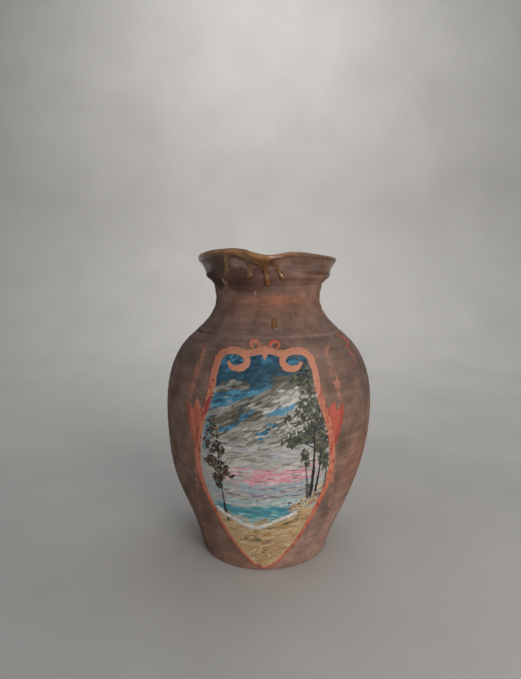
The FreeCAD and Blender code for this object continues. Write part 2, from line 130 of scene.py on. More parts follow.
BODY_Z = np.concatenate([[0.3, 1.0, 2.0, 3.0], np.arange(4, SEAM - 1, 2.0)])
NECK_Z = np.arange(SEAM + 1, NECK_TOP - 0.2, 2.0)
OUT_Z, OUT_R = profile(BODY_Z, NECK_Z, False)
FLOOR = 10.0                                         # thickness of the floor
IN_Z, IN_R = profile(np.arange(FLOOR + 1.5, SEAM + 2, 2.0), np.arange(SEAM + 4, NECK_TOP + 4, 2.0), True)


def outer_radius(height):
    return np.interp(height, OUT_Z, OUT_R)


@functools.cache
def lean_curve():
    """The vase was thrown by hand: its axis wanders a little to one side on the way up."""
    heights = np.arange(0, 305, 5.0)
    shift = np.interp(heights, *np.array(LEAN, float).T)
    for _ in range(4):
        shift[1:-1] = (shift[:-2] + 2 * shift[1:-1] + shift[2:]) / 4
    return heights, shift


def lean(height):
    return np.interp(height, *lean_curve())


def crack(angle):
    """How open the shoulder joint is: wide on the left of the front, less at the back, closed elsewhere."""
    degrees = np.degrees(angle)
    return np.clip(np.exp(-((degrees + 72) / 26) ** 2) + 0.6 * np.exp(-((degrees - 165) / 18) ** 2), 0, 1)


def seam_height(angle):
    return SEAM + 0.7 * noise(angle * 20 / (2 * math.pi), 3.1, 5, 20)


def relief(angle, height):
    """How far the clay stands out from the turned profile, in millimetres."""
    rings = np.sin(height / RING_PITCH * 2 * math.pi + angle + 1.5 * layered(angle, height, 6, 40, 11))
    rings = rings * (0.10 + 0.08 * layered(angle, height, 5, 50, 12))
    wobble = 0.55 * layered(angle, height, 4, 90, 13, 2)
    dents = 0.10 * layered(angle, height, 40, 12, 14) + 0.05 * layered(angle, height, 140, 3.5, 15, 2)
    gap = height - seam_height(angle)
    groove = -(0.12 + 0.75 * crack(angle)) * np.exp(-(gap / 0.75) ** 2)
    lip = 0.22 * np.exp(-((gap - 2.2) / 1.6) ** 2)
    lip = lip + 0.25 * crack(angle) * smoothstep(0, 1, gap) * np.exp(-gap / 6)
    fade = smoothstep(0, 5, height)
    return (rings + wobble + dents) * fade + groove + np.where(gap > -2, lip, 0)


def turned(radius, angle, height):
    """Points at a radius round the leaning axis."""
    return np.stack([radius * np.sin(angle) + lean(height), -radius * np.cos(angle),
                     np.broadcast_to(height, radius.shape)], -1)


def body_points(angle, height):
    """Points and outward normals of the body and neck."""
    points = turned(outer_radius(height) + relief(angle, height), angle, height)
    slope = np.interp(height, OUT_Z, np.gradient(OUT_R, OUT_Z))
    flat = 1 / np.sqrt(1 + slope ** 2)
    upright = np.broadcast_to(-slope * flat, points.shape[:-1])
    return points, np.stack([np.sin(angle) * flat, -np.cos(angle) * flat, upright], -1)


# ---- the collar: the same section and lip formula as the CAD part ----
COLLAR_SECTION = [
    (54.6, 270.0), (55.3, 271.1), (57.4, 273.2), (60.3, 275.3), (61.5, 277.2), (60.9, 279.2), (61.9, 281.8),
    (64.0, 284.6), (66.4, 287.0), (67.9, 289.0), (66.9, 291.0), (64.6, 291.0), (62.6, 288.6), (59.0, 284.6),
    (53.0, 280.6), (46.5, 278.4), (44.6, 275.6), (44.6, 270.0)]
RIPPLE_START, RIPPLE_FULL = 276.0, 291.0
FRONT_RISE, FRONT_RISE_ANGLE, FRONT_RISE_WIDTH = 11.0, -31.0, 51.0
SPOUT_ANGLE, SPOUT_REACH, SPOUT_WIDTH, SPOUT_DIP, SPOUT_DIP_WIDTH = -1.0, 10.8, 10.0, 5.5, 9.3
LIP_TILT = 1.8
# Places counted along the section's points: where the glaze may start, the groove above the ledge, the
# lip's crest, and the glaze's end inside.
GLAZE_START, GROOVE_PLACE, CREST_PLACE, INSIDE_END = 3.0, 3.9, 9.45, 14.2


def turn_between(degrees, middle):
    return (degrees - middle + 180) % 360 - 180


def bump(degrees, middle, width):
    return np.exp(-0.5 * (turn_between(degrees, middle) / width) ** 2)


def section_curve(places):
    """Points of the cubic B-spline through the collar's section, clamped at both ends."""
    control = np.array(COLLAR_SECTION)
    count = len(control)
    knots = np.concatenate([[0] * 3, np.arange(count - 2), [count - 3] * 3]).astype(float)
    places = np.clip(places, 0, count - 3 - 1e-9)
    basis = ((knots[:-1] <= places[:, None]) & (places[:, None] < knots[1:])).astype(float)
    for degree in (1, 2, 3):
        width = knots[degree:-1] - knots[:-degree - 1]
        rise = (places[:, None] - knots[:-degree - 1]) / np.where(width > 0, width, 1) * (width > 0)
        width = knots[degree + 1:] - knots[1:-degree]
        fall = (knots[degree + 1:] - places[:, None]) / np.where(width > 0, width, 1) * (width > 0)
        basis = rise * basis[:, :-1] + fall * basis[:, 1:]
    return basis @ control


def shape_lip(radius, height, angle):
    """Move the plain section to where the pinched and wavy lip has it."""
    degrees = np.degrees(angle)
    weight = smoothstep(RIPPLE_START, RIPPLE_FULL, height)
    lift = FRONT_RISE * bump(degrees, FRONT_RISE_ANGLE, FRONT_RISE_WIDTH)
    lift = lift - SPOUT_DIP * bump(degrees, SPOUT_ANGLE, SPOUT_DIP_WIDTH) + LIP_TILT * np.sin(angle)
    lift = lift + 0.35 * noise(angle * 11 / (2 * math.pi), 0.4, 21, 11)
    reach = SPOUT_REACH * bump(degrees, SPOUT_ANGLE, SPOUT_WIDTH)
    reach = reach + 0.4 * noise(angle * 9 / (2 * math.pi), 0.7, 22, 9)
    return radius + reach * weight, height + lift * weight


def collar_points(angle, places):
    """Grid of points: rows follow the section, columns go round."""
    section = section_curve(places)
    radius, height = shape_lip(section[:, :1], section[:, 1:], angle[None, :])
    radius = radius + 0.14 * layered(angle[None, :], height, 30, 9, 23) * smoothstep(270, 274, height)
    return turned(radius, angle, height)


def round_normals(points):
    """Outward normals of a grid whose columns go round to the right and whose rows start low outside."""
    normals = np.cross(np.roll(points, -1, 1) - np.roll(points, 1, 1), np.gradient(points, axis=0))
    return normals / np.maximum(np.linalg.norm(normals, axis=-1, keepdims=True), 1e-9)


# ---- meshes ----
def new_object(name, points, faces, smooth, colours=None, values=None):
    """Make a mesh object in metres; smooth says for each face whether it is shaded smooth."""
    mesh = bpy.data.meshes.new(name)
    mesh.from_pydata((np.asarray(points) * MM).tolist(), [], faces)
    mesh.polygons.foreach_set("use_smooth", np.asarray(smooth, bool))
    for key, value in (colours or {}).items():
        rgba = np.ones((len(value), 4), np.float32)
        rgba[:, :3] = value
        mesh.attributes.new(key, "FLOAT_COLOR", "POINT").data.foreach_set("color", rgba.ravel())
    for key, value in (values or {}).items():
        mesh.attributes.new(key, "FLOAT", "POINT").data.foreach_set("value", np.asarray(value, np.float32))
    mesh.update()
    made = bpy.data.objects.new(name, mesh)
    bpy.context.scene.collection.objects.link(made)
    return made


def finish_piece(piece, material, slot, *nodes):
    piece.data.materials.append(material)
    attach(piece, "root")
    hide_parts(*nodes)


def grid_faces(rows, columns, wrap_rows, wrap_columns):
    r = np.arange(rows if wrap_rows else rows - 1)[:, None]
    c = np.arange(columns if wrap_columns else columns - 1)[None, :]
    r1, c1 = (r + 1) % rows, (c + 1) % columns
    corners = [r * columns + c, r * columns + c1, r1 * columns + c1, r1 * columns + c]
    return np.stack(corners, -1).reshape(-1, 4)


def lathe(section, marks, columns):
    """Turn a closed section of (radius, height) points, given anticlockwise with the radius to the right. A
    section that starts and ends on the axis gets a pole at each end. Each mark says how much of the
    clay's relief its row takes: 1 outside, 0 inside."""
    section, marks = np.array(section, float), np.array(marks, float)
    angle = full_turn(columns)
    poles = section[0, 0] == 0
    kept = slice(1, -1) if poles else slice(None)
    body = section[kept]
    height = np.broadcast_to(body[:, 1:], (len(body), columns))
    radius = body[:, :1] + relief(angle[None, :], height) * marks[kept, None]
    points = turned(radius, angle, height).reshape(-1, 3)
    faces = grid_faces(len(body), columns, not poles, True).tolist()
    if poles:
        low, high = len(points), len(points) + 1
        ends = [(lean(z), 0, z) for z in (section[0, 1], section[-1, 1])]
        points = np.concatenate([points, ends])
        last = (len(body) - 1) * columns
        for c in range(columns):
            after = (c + 1) % columns
            faces.append((low, after, c))
            faces.append((high, last + c, last + after))
    return points, faces


COVERED = 0.03                                       # cover below this is bare clay
EDGE_SINK = 0.05                                     # how far the rim of a skin sinks into the clay


def film(name, surface, cover, depth, paint, lift, root, wraps):
    """A closed skin over the cells of a grid that cover touches. It stands about lift + depth proud of the
    surface where the cover is full, and sinks to root below it underneath."""
    rows, columns = cover.shape
    beside = np.maximum(cover, np.roll(cover, -1, 1))
    cell = np.maximum(beside[:-1], beside[1:]) > COVERED
    if not wraps:
        cell[:, -1] = False
    grid = np.arange(rows * columns).reshape(rows, columns)
    right = np.roll(grid, -1, 1)
    corners = np.stack([grid[:-1], right[:-1], right[1:], grid[1:]], -1)
    top = corners[cell]
    empty = np.zeros((1, columns), bool)
    neighbours = [np.concatenate([empty, cell[:-1]]), np.roll(cell, -1, 1), np.concatenate([cell[1:], empty]),
                  np.roll(cell, 1, 1)]
    walls = np.concatenate([corners[cell & ~other][:, [k, (k + 1) % 4]]
                            for k, other in enumerate(neighbours)])
    used, packed = np.unique(top, return_inverse=True)
    packed = packed.reshape(top.shape)
    count = len(used)
    place = np.full(rows * columns, -1)
    place[used] = np.arange(count)
    start, stop = place[walls].T
    faces = np.concatenate([packed, packed[:, ::-1] + count,
                            np.stack([stop, start, start + count, stop + count], -1)])
    points, normals = (part.reshape(-1, 3)[used] for part in (surface.points, surface.normals))
    cover_here = cover.ravel()[used]
    depth = np.broadcast_to(depth, cover.shape).ravel()[used]
    proud = lift * smoothstep(0, 0.12, cover_here) - EDGE_SINK + depth * smoothstep(0.02, 0.6, cover_here)
    both = np.concatenate([points + normals * proud[:, None], points + normals * root])
    colour = np.broadcast_to(paint, cover.shape + (3,)).reshape(-1, 3)[used]
    twice = {"clay": np.tile(clay_tone(points), (2, 1)), "paint": np.tile(colour, (2, 1))}
    smooth = np.arange(len(faces)) < len(packed)
    return new_object(name, both, faces.tolist(), smooth, twice, {"cover": np.tile(cover_here, 2)})


def paint_piece(surface, name, cover, depth, colour, material, slot, lift, node, root=-0.3, wraps=False):
    """A skin of paint or glaze on the body's front or on the top."""
    finish_piece(film(name, surface, cover, depth, colour, lift, root, wraps), material, slot, node)


# ---- colour of the bare clay ----
GREY_CLAY = np.array([0.215, 0.142, 0.112])
WARM_CLAY = np.array([0.305, 0.155, 0.102])
DARK_CLAY = np.array([0.125, 0.078, 0.062])
PINK_CLAY = np.array([0.315, 0.195, 0.155])
FLASH = np.array([0.40, 0.155, 0.085])
STAIN_AND_SHADE = np.array([0.095, 0.044, 0.033])


def blend_to(colour, other, amount):
    return colour + (other - colour) * np.clip(amount, 0, 1)[..., None]


def spot(degrees, height, centre, middle, wide, tall):
    """A soft patch: 1 at its middle, 0 well away from it."""
    return np.exp(-(turn_between(degrees, centre) / wide) ** 2 - ((height - middle) / tall) ** 2)


def darken(colour, amount):
    return colour * (1 - amount)[..., None]


def band(value, rise, full, fade, end):
    """1 between full and fade, easing to 0 at rise and at end."""
    return smoothstep(rise, full, value) * smoothstep(end, fade, value)


# Patches from the fire, and patches of painted light and shade: the big dark one on the left side and the
# grey one on the right of the belly are painted shade, and the pale one low on the right is painted light.
# Each has colour and strength, then angle and height of the middle, and half width and height.
FIRE_AND_PAINTED_LIGHT_PATCHES = [
    (WARM_CLAY, 0.6, 66, 90, 24, 45), (FLASH, 0.35, 58, 112, 14, 26), (DARK_CLAY, 0.75, -95, 80, 42, 90),
    (GREY_CLAY * 0.74, 0.8, 62, 188, 34, 46), (DARK_CLAY, 0.75, 38, 60, 6, 22),
    (PINK_CLAY * 1.15, 0.75, 38, 24, 36, 24)]
# Darker patches: strength, then angle and height of the middle, and half width and height. The one on the
# right of the belly and the one low on the left are painted shade; the one on the neck darkens it.
DIM_PATCHES = [(0.14, 25, 248, 60, 20), (0.15, 58, 185, 30, 55), (0.16, -50, 60, 34, 40)]


def clay_tone(points):
    """Colour of the fired clay at each point, with its flashes, smoke stains and rubbed places."""
    angle = np.arctan2(points[..., 0], -points[..., 1])
    height = points[..., 2]
    degrees = np.degrees(angle)
    around = functools.partial(layered, angle, height)
    tone = np.broadcast_to(GREY_CLAY, points.shape).copy()
    tone = blend_to(tone, WARM_CLAY, 0.34 + 0.8 * around(7, 55, 31))
    tone = blend_to(tone, DARK_CLAY, 0.65 * smoothstep(0.05, 0.6, around(9, 34, 35)))
    tone = blend_to(tone, PINK_CLAY, 0.55 * smoothstep(0.1, 0.6, around(13, 24, 39)))
    # Fire patches, with painted shade on the left side and the right of the belly, and painted light low on
    # the right.
    for colour, strength, *patch in FIRE_AND_PAINTED_LIGHT_PATCHES:
        tone = blend_to(tone, colour, strength * spot(degrees, height, *patch))
    tone = blend_to(tone, GREY_CLAY * 1.05, 0.7 * band(height, 196, 222, 238, 252))
    # A bright flash round the neck, ragged at its edge, and a faint one below it.
    ragged = 3 * around(24, 9, 36)
    tone = blend_to(tone, FLASH, 0.9 * spot(degrees + 3 * ragged, height + ragged, 6, 254.5, 34, 5))
    tone = blend_to(tone, FLASH, 0.22 * spot(degrees, height, 0, 245, 70, 13))
    # Painted shade on the right of the belly and low on the left, and a darker neck.
    for strength, *patch in DIM_PATCHES:
        tone = darken(tone, strength * spot(degrees, height, *patch))
    # A purple stain under the collar, darkest at the left of the front, with a pale nick in it. Over it lies
    # a dark band all round just under the collar, partly the stain and partly painted shade under the
    # collar's ledge, deepest on the left side.
    blotch = around(60, 7, 43)
    stained = spot(degrees + 3 * ragged, height + 1.5 * ragged + 3 * blotch, -22, 267, 27, 11)
    tone = blend_to(tone, STAIN_AND_SHADE, 0.92 * smoothstep(0.15, 0.9, stained))
    # Painted shade under the collar's ledge, deepest on the left side, in the stain's colour.
    left_shade = band(degrees, 0, -30, -90, -120)
    tone = blend_to(tone, STAIN_AND_SHADE * (1.7 - 0.8 * left_shade)[..., None],
                    (0.6 + 0.25 * left_shade) * smoothstep(261, 271, height + ragged))
    nick = spot(degrees + 2.5 * blotch, height + 2.5 * blotch, -13, 262.5, 1.3, 1.3)
    tone = blend_to(tone, PINK_CLAY * 1.2, 0.8 * smoothstep(0.25, 0.7, nick))
    tone = tone * (1 + 0.12 * around(10, 2.2, 37, 2) + 0.14 * around(90, 5, 38))[..., None]
    # The joint: its open crack is darkened as painted shade, and a pale line runs where it is closed.
    seam = np.exp(-((height - seam_height(angle)) / 0.8) ** 2)
    tone = blend_to(tone, tone * 0.2, seam * crack(angle))
    tone = blend_to(tone, PINK_CLAY * 1.2, 0.45 * seam * (1 - crack(angle)))
    return np.clip(tone, 0.01, 1)


# ---- materials ----
def add(tree, kind, values=None, **settings):
    """Add a shader node; values maps socket names or numbers to a link or a constant."""
    made = tree.nodes.new("ShaderNode" + kind)
    for key, value in settings.items():
        setattr(made, key, value)
    for key, value in (values or {}).items():
        if isinstance(value, bpy.types.NodeSocket):
            tree.links.new(value, made.inputs[key])
        else:
            made.inputs[key].default_value = value
    return made


def new_material(name, **constants):
    material = bpy.data.materials.new(name)
    material.use_nodes = True
    shader = material.node_tree.nodes["Principled BSDF"]
    for key, value in constants.items():
        shader.inputs[key.replace("_", " ")].default_value = value
    return material, material.node_tree, shader


def wire(tree, shader, **links):
    for key, socket in links.items():
        tree.links.new(socket, shader.inputs[key.replace("_", " ")])


def grain(tree, scale, detail, stretch=(1, 1, 1), roughness=0.55):
    """Noise over the object's own coordinates, in features per metre."""
    place = add(tree, "TexCoord").outputs["Object"]
    place = add(tree, "Mapping", {"Vector": place, "Scale": stretch}).outputs[0]
    made = add(tree, "TexNoise", {"Vector": place, "Scale": scale, "Detail": detail, "Roughness": roughness})
    return made.outputs[0]


def spread(tree, value, low, high, to_low, to_high):
    return add(tree, "MapRange", {"Value": value, "From Min": low, "From Max": high,
                                  "To Min": to_low, "To Max": to_high}).outputs[0]


def vary(tree, value, least, most):
    """Stretch the usual range of a noise to run from least to most."""
    return spread(tree, value, 0.3, 0.7, least, most)


def math_of(tree, operation, first, second):
    return add(tree, "Math", {0: first, 1: second}, operation=operation).outputs[0]


def times(tree, colour, factor):
    return add(tree, "VectorMath", {0: colour, "Scale": factor}, operation="SCALE").outputs[0]


def mix(tree, factor, first, second):
    """Blend from the first colour to the second; the second may be a constant."""
    made = add(tree, "Mix", {"Factor": factor, 6: first}, data_type="RGBA")
    if isinstance(second, bpy.types.NodeSocket):
        tree.links.new(second, made.inputs[7])
    else:
        made.inputs[7].default_value = (*second, 1)
    return made.outputs[2]


def total(tree, *terms):
    """Sum of (socket, weight) pairs."""
    parts = [math_of(tree, "MULTIPLY", socket, weight) for socket, weight in terms]
    return functools.reduce(lambda sum_so_far, part: math_of(tree, "ADD", sum_so_far, part), parts)


def attribute(tree, name, output="Color"):
    return add(tree, "Attribute", attribute_name=name).outputs[output]


def bump_of(tree, height, distance):
    return add(tree, "Bump", {"Height": height, "Distance": distance, "Strength": 1.0}).outputs[0]


SOOT, DUST, SPECK, PINHOLE = (0.075, 0.05, 0.042), (0.5, 0.37, 0.3), (0.05, 0.035, 0.03), (0.04, 0.02, 0.012)


def clay_look(tree):
    """Colour, roughness and height of the fired clay: cloudy, streaked by throwing, specked and gritty."""
    cloud = grain(tree, 55, 5)
    streak = grain(tree, 9, 4, (1, 1, 45))
    grit = grain(tree, 1500, 3)
    smudge = grain(tree, 160, 6, (1, 1, 0.6), 0.7)
    colour = times(tree, attribute(tree, "clay"), vary(tree, cloud, 0.66, 1.34))
    colour = times(tree, colour, vary(tree, streak, 0.88, 1.12))
    colour = times(tree, colour, vary(tree, grit, 0.82, 1.18))
    colour = mix(tree, spread(tree, smudge, 0.55, 0.72, 0.0, 0.55), colour, SOOT)
    dusty = grain(tree, 240, 6, roughness=0.75)
    colour = mix(tree, spread(tree, dusty, 0.6, 0.72, 0.0, 0.35), colour, DUST)
    specks = spread(tree, grain(tree, 620, 2), 0.68, 0.72, 0.0, 0.7)
    colour = mix(tree, specks, colour, SPECK)
    height = total(tree, (grit, 0.35), (smudge, 0.4), (streak, 0.5), (specks, -0.5))
    return colour, vary(tree, smudge, 0.92, 0.78), height


def clay_material(name):
    material, tree, shader = new_material(name, Specular_IOR_Level=0.3)
    colour, roughness, height = clay_look(tree)
    wire(tree, shader, Base_Color=colour, Roughness=roughness, Normal=bump_of(tree, height, 0.00035))
    return material


def paint_material(name, gloss, wear):
    """Brushed paint over clay: it thins at its ragged edges and where it is rubbed, and shows brush hairs.
    gloss is its roughness; wear is how much of the clay shows through."""
    material, tree, shader = new_material(name, Specular_IOR_Level=0.4)
    clay, clay_roughness, clay_height = clay_look(tree)
    hairs = grain(tree, 420, 5, (1, 1, 1.6), 0.65)
    rub = grain(tree, 700, 5, roughness=0.7)
    cover = attribute(tree, "cover", "Fac")
    wear_and_shade = total(tree, (cover, 1.0), (rub, wear), (grain(tree, 120, 4), wear))
    shown = spread(tree, wear_and_shade, 0.28 + wear * 0.9, 0.52 + wear * 1.1, 0.0, 1.0)
    paint = times(tree, attribute(tree, "paint"), vary(tree, hairs, 0.86, 1.14))
    paint = times(tree, paint, vary(tree, rub, 0.93, 1.07))
    brushed_roughness = vary(tree, hairs, gloss + 0.1, gloss - 0.1)
    roughness = add(tree, "Mix", {0: shown, 2: clay_roughness, 3: brushed_roughness}).outputs[0]
    height = total(tree, (hairs, 0.5), (rub, 0.25), (shown, 0.35), (clay_height, 0.4))
    wire(tree, shader, Base_Color=mix(tree, shown, clay, paint), Roughness=roughness,
         Normal=bump_of(tree, height, 0.0003))
    return material


def glaze_material(name, roughness, coat, pit):
    """Glassy lead glaze with pinholes, mottling and a slow ripple, which its clear coat shares. pit is the
    depth of the pinholes."""
    material, tree, shader = new_material(name, Coat_Weight=coat, Coat_Roughness=0.09, Coat_IOR=1.75,
                                          Specular_IOR_Level=0.35)
    ripple = grain(tree, 130, 3)
    speckle = grain(tree, 620, 5, roughness=0.7)
    holes = spread(tree, grain(tree, 330, 2), 0.67, 0.74, 0.0, 1.0)
    colour = times(tree, attribute(tree, "paint"), vary(tree, ripple, 0.75, 1.25))
    colour = times(tree, colour, vary(tree, speckle, 0.72, 1.28))
    colour = mix(tree, math_of(tree, "MULTIPLY", holes, pit), colour, PINHOLE)
    uneven = bump_of(tree, total(tree, (ripple, 1.0), (speckle, 0.22), (holes, -0.6 * pit)), 0.0006)
    wire(tree, shader, Base_Color=colour, Roughness=vary(tree, speckle, roughness - 0.06, roughness + 0.14),
         Normal=uneven, Coat_Normal=uneven)
    return material


# ---- pieces of clay ----
def turned_piece(name, section, marks, slot, node, material, columns=None, tone=None):
    """A piece turned on the wheel, in the clay's colours or in one tone of its own."""
    points, faces = lathe(section, marks, columns or COLUMNS)
    colours = {"clay": clay_tone(points)} if tone is None else {"paint": tone(points)}
    finish_piece(new_object(name, points, faces, np.ones(len(faces)), colours), material, slot, node)


def span(start, stop, step):
    count = max(2, int(round(abs(stop - start) / step)) + 1)
    return np.linspace(start, stop, count)


COLUMNS = 480
FOOT_RADIUS, FOOT_EDGE = 61.6, 3.5
STEP_RADIUS, STEP, SLIP = 66.0, 3.0, 1.0             # the lap in the shoulder joint
JOINT_LOW, JOINT_HIGH = SEAM - SLIP / 2, SEAM + SLIP / 2
SPIGOT_RADIUS, SPIGOT_TOP = 52.2, 275.0
LINER_TONE = np.array([0.16, 0.085, 0.05])


def outside(heights):
    return list(zip(outer_radius(heights), heights))


def inside(heights):
    return list(zip(np.interp(heights, IN_Z, IN_R), heights))


def make_lower_body(material):
    """From the middle of the foot, round its edge, up the wall to the lap, and down inside to the floor."""
    turn = np.radians(span(-90, 0, 15))
    edge = outer_radius(FOOT_EDGE) - FOOT_RADIUS
    foot = [(FOOT_RADIUS + edge * math.cos(t), FOOT_EDGE + FOOT_EDGE * math.sin(t)) for t in turn]
    under = [(r, 0.0) for r in (0, 6, 20, 34, 48, 58)] + foot
    wall = outside(np.concatenate([span(FOOT_EDGE + 1, SEAM - 6, 1.15), span(SEAM - 5.6, JOINT_LOW, 0.4)]))
    lap = [(STEP_RADIUS, JOINT_LOW), (STEP_RADIUS - SLIP, JOINT_LOW), (STEP_RADIUS - SLIP, JOINT_LOW + STEP)]
    within_it = lap + inside(span(JOINT_LOW + STEP, FLOOR + 2, 3.5))
    within_it += [(r, FLOOR) for r in (50, 42, 32, 22, 12, 4, 0)]
    marks = [0] * len(under) + [1] * len(wall) + [0] * len(within_it)
    turned_piece("lower_body_clay", under + wall + within_it, marks, "terracotta", "lower_body", material)


def make_shoulder_neck(material):
    wall = outside(np.concatenate([span(JOINT_HIGH, SEAM + 5.6, 0.4), span(SEAM + 6.2, NECK_TOP, 0.7)]))
    spigot = [(SPIGOT_RADIUS, NECK_TOP), (SPIGOT_RADIUS, SPIGOT_TOP)]
    lap = [(STEP_RADIUS, JOINT_HIGH + STEP), (STEP_RADIUS, JOINT_HIGH)]
    within_it = spigot + inside(span(SPIGOT_TOP, JOINT_HIGH + STEP, 1.5)) + lap
    marks = [1] * len(wall) + [0] * len(within_it)
    turned_piece("shoulder_neck_clay", wall + within_it, marks, "terracotta", "shoulder_neck", material)


def make_shoulder_slip(material):
    low, high = JOINT_LOW + 0.02, JOINT_HIGH - 0.02
    wall = outside(span(low, high, 0.24))
    section, marks = wall + [(STEP_RADIUS, high), (STEP_RADIUS - 0.5, low)], [1] * len(wall) + [0, 0]
    turned_piece("shoulder_slip_clay", section, marks, "clay_slip", "shoulder_slip", material)


def make_collar_slip(material):
    """Slip squeezed out where the neck enters the collar."""
    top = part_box("collar_slip")[1].z / MM - NECK_TOP
    edge = outer_radius(NECK_TOP)
    # Radius, height above the neck's end, and how much of the relief it takes.
    bead = [(SPIGOT_RADIUS + 0.05, -0.3, 0), (edge + 0.1, -0.5, 0.6), (edge + 0.55, 0, 1),
            (edge + 0.8, 0.6, 1), (edge + 1.0, 1.2, 0.6), (SPIGOT_RADIUS + 0.7, 1.2, 0),
            (SPIGOT_RADIUS + 0.7, top, 0), (SPIGOT_RADIUS + 0.05, top, 0)]
    section, marks = [(r, NECK_TOP + z) for r, z, _ in bead], [mark for _, _, mark in bead]
    turned_piece("collar_slip_clay", section, marks, "clay_slip", "collar_slip", material)


def make_collar(material):
    angle = full_turn(COLUMNS)
    places = span(0, len(COLLAR_SECTION) - 3, 0.09)
    points = collar_points(angle, places).reshape(-1, 3)
    faces = grid_faces(len(places), COLUMNS, True, True).tolist()
    piece = new_object("rim_collar_clay", points, faces, np.ones(len(faces)), {"clay": clay_tone(points)})
    finish_piece(piece, material, "terracotta", "rim_collar")


def liner_tone(points):
    angle = np.arctan2(points[:, 0], -points[:, 1])
    return LINER_TONE * (1 + 0.3 * layered(angle, points[:, 2], 9, 30, 41))[:, None]


def make_interior(material):
    """Thin glaze that lines the inside, over the ridges that the potter's fingers left."""
    heights = span(SPIGOT_TOP + 0.5, FLOOR + 3, 1.5)
    radii = np.interp(heights, IN_Z, IN_R)
    rings = 0.35 * np.sin(heights * 2 * math.pi / 7.3) * smoothstep(FLOOR, FLOOR + 30, heights)
    under = [(r, FLOOR - 0.2) for r in (0, 10, 30, 50)]
    backing = list(zip(radii[::-3] + 0.25, heights[::-3]))
    liner = list(zip(radii - 0.55 + rings, heights))
    floor = [(r, FLOOR + 0.5 + 0.25 * math.cos(r / 3.2)) for r in np.arange(50, 2, -2.0)] + [(0, FLOOR + 0.7)]
    section = under + backing + liner + floor
    marks = [0] * len(section)
    turned_piece("interior_glaze_skin", section, marks, "liner_glaze", "interior_glaze", material,
                 240, liner_tone)


# ---- outlines of the painting, in the plane seen from the front ----
REACH = 20.0                                         # distances are worked out this far from a line
PANEL_X, PANEL_TIP = -4.0, 4.6
BORDER = 5.6                                         # full width of the border's stroke
VOLUTE_SPACING, VOLUTE_HEIGHT, VOLUTE_SQUASH = 25.0, 205.0, 0.68
VOLUTE_START, VOLUTE_END, VOLUTE_TURN = 15.5, 6.0, 340.0
VOLUTE_WIDTHS = [BORDER] * 8 + [5.0, 4.2, 2.6]
PANEL_EDGE = [(0.6, PANEL_TIP), (13, 12), (31, 37), (46, 70), (57, 101), (59, 126), (55.5, 150), (50, 167),
              (46, 181), (43, 197), (40.2, 205)]
EDGE_WIDTHS = {-1: [1.6, 1.8, 2, 2.4, 3, 4.2, 5.2] + [BORDER] * 4,
               1: [1.8, 2.4, 3, 3.4, 3.8, 4.6, 5.4] + [BORDER] * 4}
CREST_LINE = [(-24, 213.2), (-15, 211.5), (-7, 213.3), (0, 213.6), (7, 213.3), (15, 211.5), (24, 213.2)]
CREST_WIDTHS = [BORDER, 5.4, 5, 5.4, 5, 5.4, BORDER]
CREST_POINT = [(0, 214), (0, 210.5), (0, 207)]       # small tongue under the middle of the crest
CURL_SPACING, CURL_HEIGHT = 9.5, 218.0
PANEL_SHOULDER = (34.8, 211.4)                       # top of the panel where a volute's turn begins
LEAF = [(57, 121), (62.5, 132), (67.5, 148), (70, 168), (63, 161), (59.5, 171), (54, 163), (51, 168),
        (53, 158), (57.5, 140)]
HORIZON = [(-80, 76), (-30, 77), (16, 76), (30, 80), (48, 92), (80, 108)]
SEA = [(-46, 75), (-20, 77), (20, 75), (24, 71), (6, 62), (-12, 54), (-22, 57), (-36, 64), (-44, 70)]
FOAM = [(-46, 71), (-38, 65), (-28, 60), (-20, 55.5), (-10, 53.5), (-2, 57), (6, 61), (15, 65), (23, 69.5)]


def curve(points, closed=False, steps=8):
    """A smooth line through the points (Catmull-Rom), as an array."""
    p = np.array(points, float)
    if closed:
        p = np.concatenate([p[-1:], p, p[:2]])
    else:
        p = np.concatenate([2 * p[:1] - p[1:2], p, 2 * p[-1:] - p[-2:-1]])
    t = np.arange(steps)[:, None] / steps
    parts = []
    for a, b, c, d in zip(p[:-3], p[1:-2], p[2:-1], p[3:]):
        square, cube = 2 * a - 5 * b + 4 * c - d, 3 * b - a - 3 * c + d
        parts.append(0.5 * (2 * b + (c - a) * t + square * t ** 2 + cube * t ** 3))
    if not closed:
        parts.append(p[-2:-1])
    return np.concatenate(parts)


def mirrored(points, side):
    return [(PANEL_X + side * x, z) for x, z in points]


def spiral(side):
    """Centre line of a volute, from the border's side over the top and round to its curled end."""
    along = np.linspace(0, 1, 11)
    turn = np.radians(175 - VOLUTE_TURN * along)
    reach = VOLUTE_START + (VOLUTE_END - VOLUTE_START) * along ** 0.8
    return np.stack([PANEL_X + side * (VOLUTE_SPACING - reach * np.cos(turn)),
                     VOLUTE_HEIGHT + VOLUTE_SQUASH * reach * np.sin(turn)], -1)


